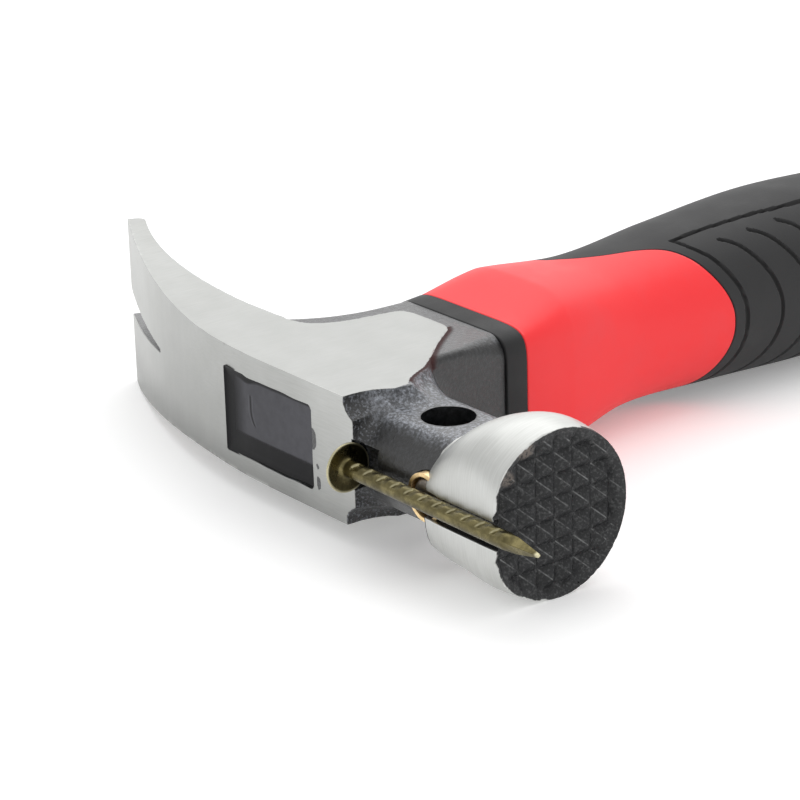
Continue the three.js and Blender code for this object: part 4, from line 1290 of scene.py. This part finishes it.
class HammerStarterOperator(Operator):
    """Make the copper bush and the magnet of the nail starter."""
    bl_idname = "hammer.starter"
    bl_label = "Starter magnet"

    def execute(self, context):
        colours = context.scene.hammer_colours
        s = in_millimetres(context.scene.hammer_head)
        centre = np.array([(BUSH_LOW[0] + BUSH_HIGH[0]) / 2, 0, -s.bush_drop])
        outer = s.bush_diameter / 2
        inner = outer - s.bush_wall
        face, back = BUSH_LOW[1], BUSH_HIGH[1]
        r = BUSH_EDGE
        turn = quarter_turn(6)
        ring = np.concatenate([
            [(back, outer)],
            np.hstack([face + r - r * np.sin(turn), outer - r + r * np.cos(turn)]),
            [(face, outer - r - BUSH_FLAT), (face, inner + r + BUSH_FLAT)],
            np.hstack([face + r - r * np.cos(turn), inner + r - r * np.sin(turn)]),
            [(back, inner)],
        ])
        bright = worn_metal("pressed_copper", colours.copper, 0.75, 0.25, 0.4, 1.2)
        self.add("copper_bush", ring, True, centre, bright, "magnet_bush", "copper")
        radius, start, end = inner - MAGNET_GAP, MAGNET_LOW[1] - MAGNET_PROUD, MAGNET_HIGH[1]
        share = np.linspace(0.05, 1, 14)
        fall = MAGNET_ROUND * (1 - np.sqrt(1 - 0.98 * share ** 4))
        disc = np.concatenate([
            np.stack([start + fall, radius * share], axis=1),
            [(end, radius), (end, MAGNET_BACK)],
        ])
        dull = worn_metal("dull_magnet_steel", colours.magnet, 0.6, 0.35, 0.55, 1)
        self.add("starter_magnet", disc, False, centre, dull, "magnet", "magnet_steel")
        return {"FINISHED"}

    @staticmethod
    def add(name, profile, closed, centre, finish, node, slot):
        """Turned piece with its axis along Y instead of X."""
        rings = turned(profile, 72)[..., [1, 0, 2]] + centre
        points, blocks = skin_of_rings(rings, closed)
        add_piece(name, points, blocks, finish, "hammer", node)


# Nail's head seen from the end: depth and radius of its dished middle, share of the radius where the dish
# ends, and how far from the outside the rim starts
DISH_DEPTH = 0.1
DISH_RADIUS = 0.3
DISH_SHARE = 0.55
RIM_START = 0.4
# Underside of the nail's head: hollow of the cup, its foot outside the shank, and where the shank starts
CUP_HOLLOW = 0.05
CUP_FOOT = 0.5
CUP_END = 1.0
SHANK_START = 1.6
# Gripper marks: start of the first, slant along the shank and the angle it follows, run of the steep wall,
# length, run of the gentle wall, angle of one marked side, and where the marked stretch starts
MARK_START = 2.0
MARK_SLANT = 0.7
MARK_PHASE = 2.58
MARK_STEEP = 0.14
MARK_LENGTH = 1.9
MARK_GENTLE = 1.5
MARK_SIDE = 2.0
MARKED_FROM = 2.2
# Four-sided point: its turn about the shank and how much narrower its sides are than the shank
POINT_TURN = 0.5
POINT_SLIM = 1.15


class HammerNailOperator(Operator):
    """Make the nail, with its cupped head, gripper marks and four-sided point."""
    bl_idname = "hammer.nail"
    bl_label = "Nail"

    def execute(self, context):
        s = in_millimetres(context.scene.hammer_nail)
        start, tip = NAIL_LOW[0], NAIL_HIGH[0]
        wide = (NAIL_HIGH[2] - NAIL_LOW[2]) / 2
        shank = s.shank / 2
        r = s.rim / 2
        rim = np.linspace(0, np.pi, 9)
        columns = 96
        profile = np.concatenate([
            [(start + DISH_DEPTH, DISH_RADIUS), (start, wide * DISH_SHARE), (start, wide - RIM_START)],
            np.stack([start + r - r * np.cos(rim), wide - r + r * np.sin(rim)], axis=1),
            bezier([(start + s.rim, wide - s.rim), (start + s.rim - CUP_HOLLOW, shank + CUP_FOOT),
                    (start + s.rim, shank + CUP_HOLLOW), (start + CUP_END, shank)], 16),
            np.linspace((start + SHANK_START, shank), (tip - s.point, shank), 420),
            np.linspace((tip - s.point, shank), (tip, s.tip / 2), 40)[1:],
            [(tip, s.tip / 5)],
        ])
        rings = turned(profile, columns)
        angle = round_angles(columns)
        x = rings[..., 0]
        # Gripper marks: dents at even steps on two opposite sides, steep towards the head
        along = (x - start - MARK_START - MARK_SLANT * np.sin(MARK_PHASE - angle)) % s.mark_gap
        dent = rise(along, 0, MARK_STEEP) * rise(along, MARK_LENGTH, -MARK_GENTLE)
        sector = np.clip(np.cos(2 * (angle - MARK_SIDE)) * 2.2 - 0.4, 0, 1)
        sector = sector * ((x > start + MARKED_FROM) & (x < tip - s.point))
        cut = s.mark_depth * dent * sector
        # Point: the section turns from round to square
        flat = np.maximum(np.abs(np.cos(angle - POINT_TURN)), np.abs(np.sin(angle - POINT_TURN)))
        squared = np.clip(rise(x, tip - s.point, s.point) * 3, 0, 1)
        rings[..., 1:] *= ((1 - cut / shank) * (1 + (1 / flat / POINT_SLIM - 1) * squared))[..., None]
        out = np.hypot(rings[..., 1], rings[..., 2])
        middle = (NAIL_LOW + NAIL_HIGH) / 2 * np.array([0, 1, 1])
        points, blocks = skin_of_rings(rings + middle, False)
        colours = context.scene.hammer_colours
        finish = worn_metal("yellow_passivated_zinc", colours.zinc, 0.55, 0.2, 0.4, 1.6,
                            [("cup_painted_shade", colours.cup_painted_shade), ("rubbed_and_glint", colours.rubbed_and_glint)])
        piece = add_piece("starter_nail", points, blocks, finish, "nail", "nail", 50)
        # Plating is rubbed off the marks' steep walls and the rim, which are also painted bright as
        # highlights; the tip carries a painted glint, and painted shade lies in the cup, deeper towards +Y
        wall = 0.7 * np.clip(1 - np.abs(along - 0.1) / 0.13, 0, 1) * sector
        edge = 0.8 * rise(out, wide - 0.3, 0.12) * (x < start + CUP_END)
        rubbed_and_glint = np.maximum(np.maximum(wall, edge), rise(x, tip - 0.7, 0.4))
        in_cup = (x < start + CUP_END + 0.2) * (out > shank + 0.2)
        cup_painted_shade = np.clip(0.2 + 0.8 * rings[..., 1] / wide, 0, 1) * in_cup
        add_value(piece, "rubbed_and_glint", np.concatenate([rubbed_and_glint.ravel(), [0, 1]]))
        add_value(piece, "cup_painted_shade", np.concatenate([cup_painted_shade.ravel(), [0, 0]]))
        return {"FINISHED"}


CAMERA_PLACE = (346.3, -247.4, 159.1)
CAMERA_RIGHT = (0.6109, 0.7912, -0.0274)
CAMERA_UP = (-0.2599, 0.2330, 0.9371)
CAMERA_BACK = (0.7479, -0.5653, 0.3480)
CAMERA_LENS = 135
CAMERA_SENSOR = 36
# Where the tool touches the floor: claw corner, bell and grip
FLOOR_CONTACTS = [(-64.2, 6.9, -14.35), (51, 0.3, -13.05), (-3.5, 97.1, -14.65)]
FLOOR_REACH = 3.0
# Light that the floor adds to itself where it is seen, which turns its pale grey white
FLOOR_GLOW = 0.22
# Lamps: name, place and size in metres, power in watts
LAMPS = [("overhead", (-0.25, 0.25, 1.0), 1.2, 3.5), ("window", (-0.9, 0.75, 0.65), 1.6, 4.4)]
ROOM_LIGHT = 0.85
WHITE = (1, 1, 1, 1)


class HammerStageOperator(Operator):
    """Make the floor, the lights and the camera."""
    bl_idname = "hammer.stage"
    bl_label = "Stage"

    def execute(self, context):
        scene = context.scene
        self.floor(scene)
        for lamp in LAMPS:
            self.light(scene, *lamp)
        self.world(scene)
        camera = bpy.data.cameras.new("camera")
        camera.lens = CAMERA_LENS
        camera.sensor_width = CAMERA_SENSOR
        eye = bpy.data.objects.new("camera", camera)
        scene.collection.objects.link(eye)
        turn = Matrix((CAMERA_RIGHT, CAMERA_UP, CAMERA_BACK)).transposed().to_4x4()
        place = Vector(np.array(CAMERA_PLACE) * MM + ORIGIN)
        eye.matrix_world = Matrix.Translation(place) @ turn
        scene.camera = eye
        scene.view_settings.view_transform = "Standard"
        return {"FINISHED"}

    @staticmethod
    def floor(scene):
        """Flat floor through the three places where the tool rests."""
        a, b, c = (np.array(contact) * MM + ORIGIN for contact in FLOOR_CONTACTS)
        right = (b - a) / np.linalg.norm(b - a)
        up = np.cross(b - a, c - a)
        up = up / np.linalg.norm(up)
        ahead = np.cross(up, right)
        corners = [a + FLOOR_REACH * (i * right + j * ahead) for i, j in ((-1, -1), (1, -1), (1, 1), (-1, 1))]
        mesh = bpy.data.meshes.new("floor")
        mesh.from_pydata([list(corner) for corner in corners], [], [(0, 1, 2, 3)])
        f = Finish("pale_paper_floor")
        path = f.node("ShaderNodeLightPath").outputs
        seen = f.maths("MAXIMUM", path["Is Camera Ray"], path["Is Glossy Ray"])
        seen = f.maths("MAXIMUM", seen, path["Is Transmission Ray"])
        mesh.materials.append(f.show({
            "Base Color": shade(scene.hammer_colours.floor),
            "Roughness": 0.9,
            "Emission Color": WHITE,
            "Emission Strength": f.maths("MULTIPLY", seen, FLOOR_GLOW),
        }))
        floor = bpy.data.objects.new("floor", mesh)
        scene.collection.objects.link(floor)

    @staticmethod
    def light(scene, name, place, size, power):
        """Soft square lamp that faces the tool."""
        lamp = bpy.data.lights.new(name, "AREA")
        lamp.size = size
        lamp.energy = power
        holder = bpy.data.objects.new(name, lamp)
        scene.collection.objects.link(holder)
        holder.location = place
        holder.rotation_euler = Vector(place).to_track_quat("Z", "Y").to_euler()

    @staticmethod
    def world(scene):
        """Even white surroundings."""
        world = bpy.data.worlds.new("white_room")
        world.use_nodes = True
        background = world.node_tree.nodes["Background"]
        background.inputs["Color"].default_value = WHITE
        background.inputs["Strength"].default_value = ROOM_LIGHT
        scene.world = world


OPERATORS = (
    HammerHeadOperator, HammerResinOperator, HammerCoreOperator, HammerCollarOperator, HammerBodyOperator,
    HammerGripOperator, HammerStarterOperator, HammerNailOperator, HammerStageOperator,
)
GROUPS = {
    "hammer_head": HammerHeadSizes,
    "hammer_handle": HammerHandleSizes,
    "hammer_nail": HammerNailSizes,
    "hammer_colours": HammerColours,
}


class HammerPanel(Panel):
    """Pieces of the hammer and their settings."""
    bl_idname = "VIEW3D_PT_hammer"
    bl_label = "Hammer"
    bl_space_type = "VIEW_3D"
    bl_region_type = "UI"
    bl_category = "Hammer"

    def draw(self, context):
        for operator in OPERATORS:
            self.layout.operator(operator.bl_idname)
        for name, group in GROUPS.items():
            for key in group.__annotations__:
                self.layout.prop(getattr(context.scene, name), key)


def register():
    for group in GROUPS.values():
        bpy.utils.register_class(group)
    for name, group in GROUPS.items():
        setattr(bpy.types.Scene, name, PointerProperty(type=group))
    for operator in OPERATORS:
        bpy.utils.register_class(operator)
    bpy.utils.register_class(HammerPanel)


def unregister():
    bpy.utils.unregister_class(HammerPanel)
    for operator in reversed(OPERATORS):
        bpy.utils.unregister_class(operator)
    for name in reversed(GROUPS):
        delattr(bpy.types.Scene, name)
    for group in reversed(GROUPS.values()):
        bpy.utils.unregister_class(group)


def main():
    """Makes every piece in order."""
    register()
    bpy.ops.hammer.head()
    bpy.ops.hammer.resin()
    bpy.ops.hammer.core()
    bpy.ops.hammer.collar()
    bpy.ops.hammer.body()
    bpy.ops.hammer.grip()
    bpy.ops.hammer.starter()
    bpy.ops.hammer.nail()
    bpy.ops.hammer.stage()


if __name__ == "__main__":
    main()
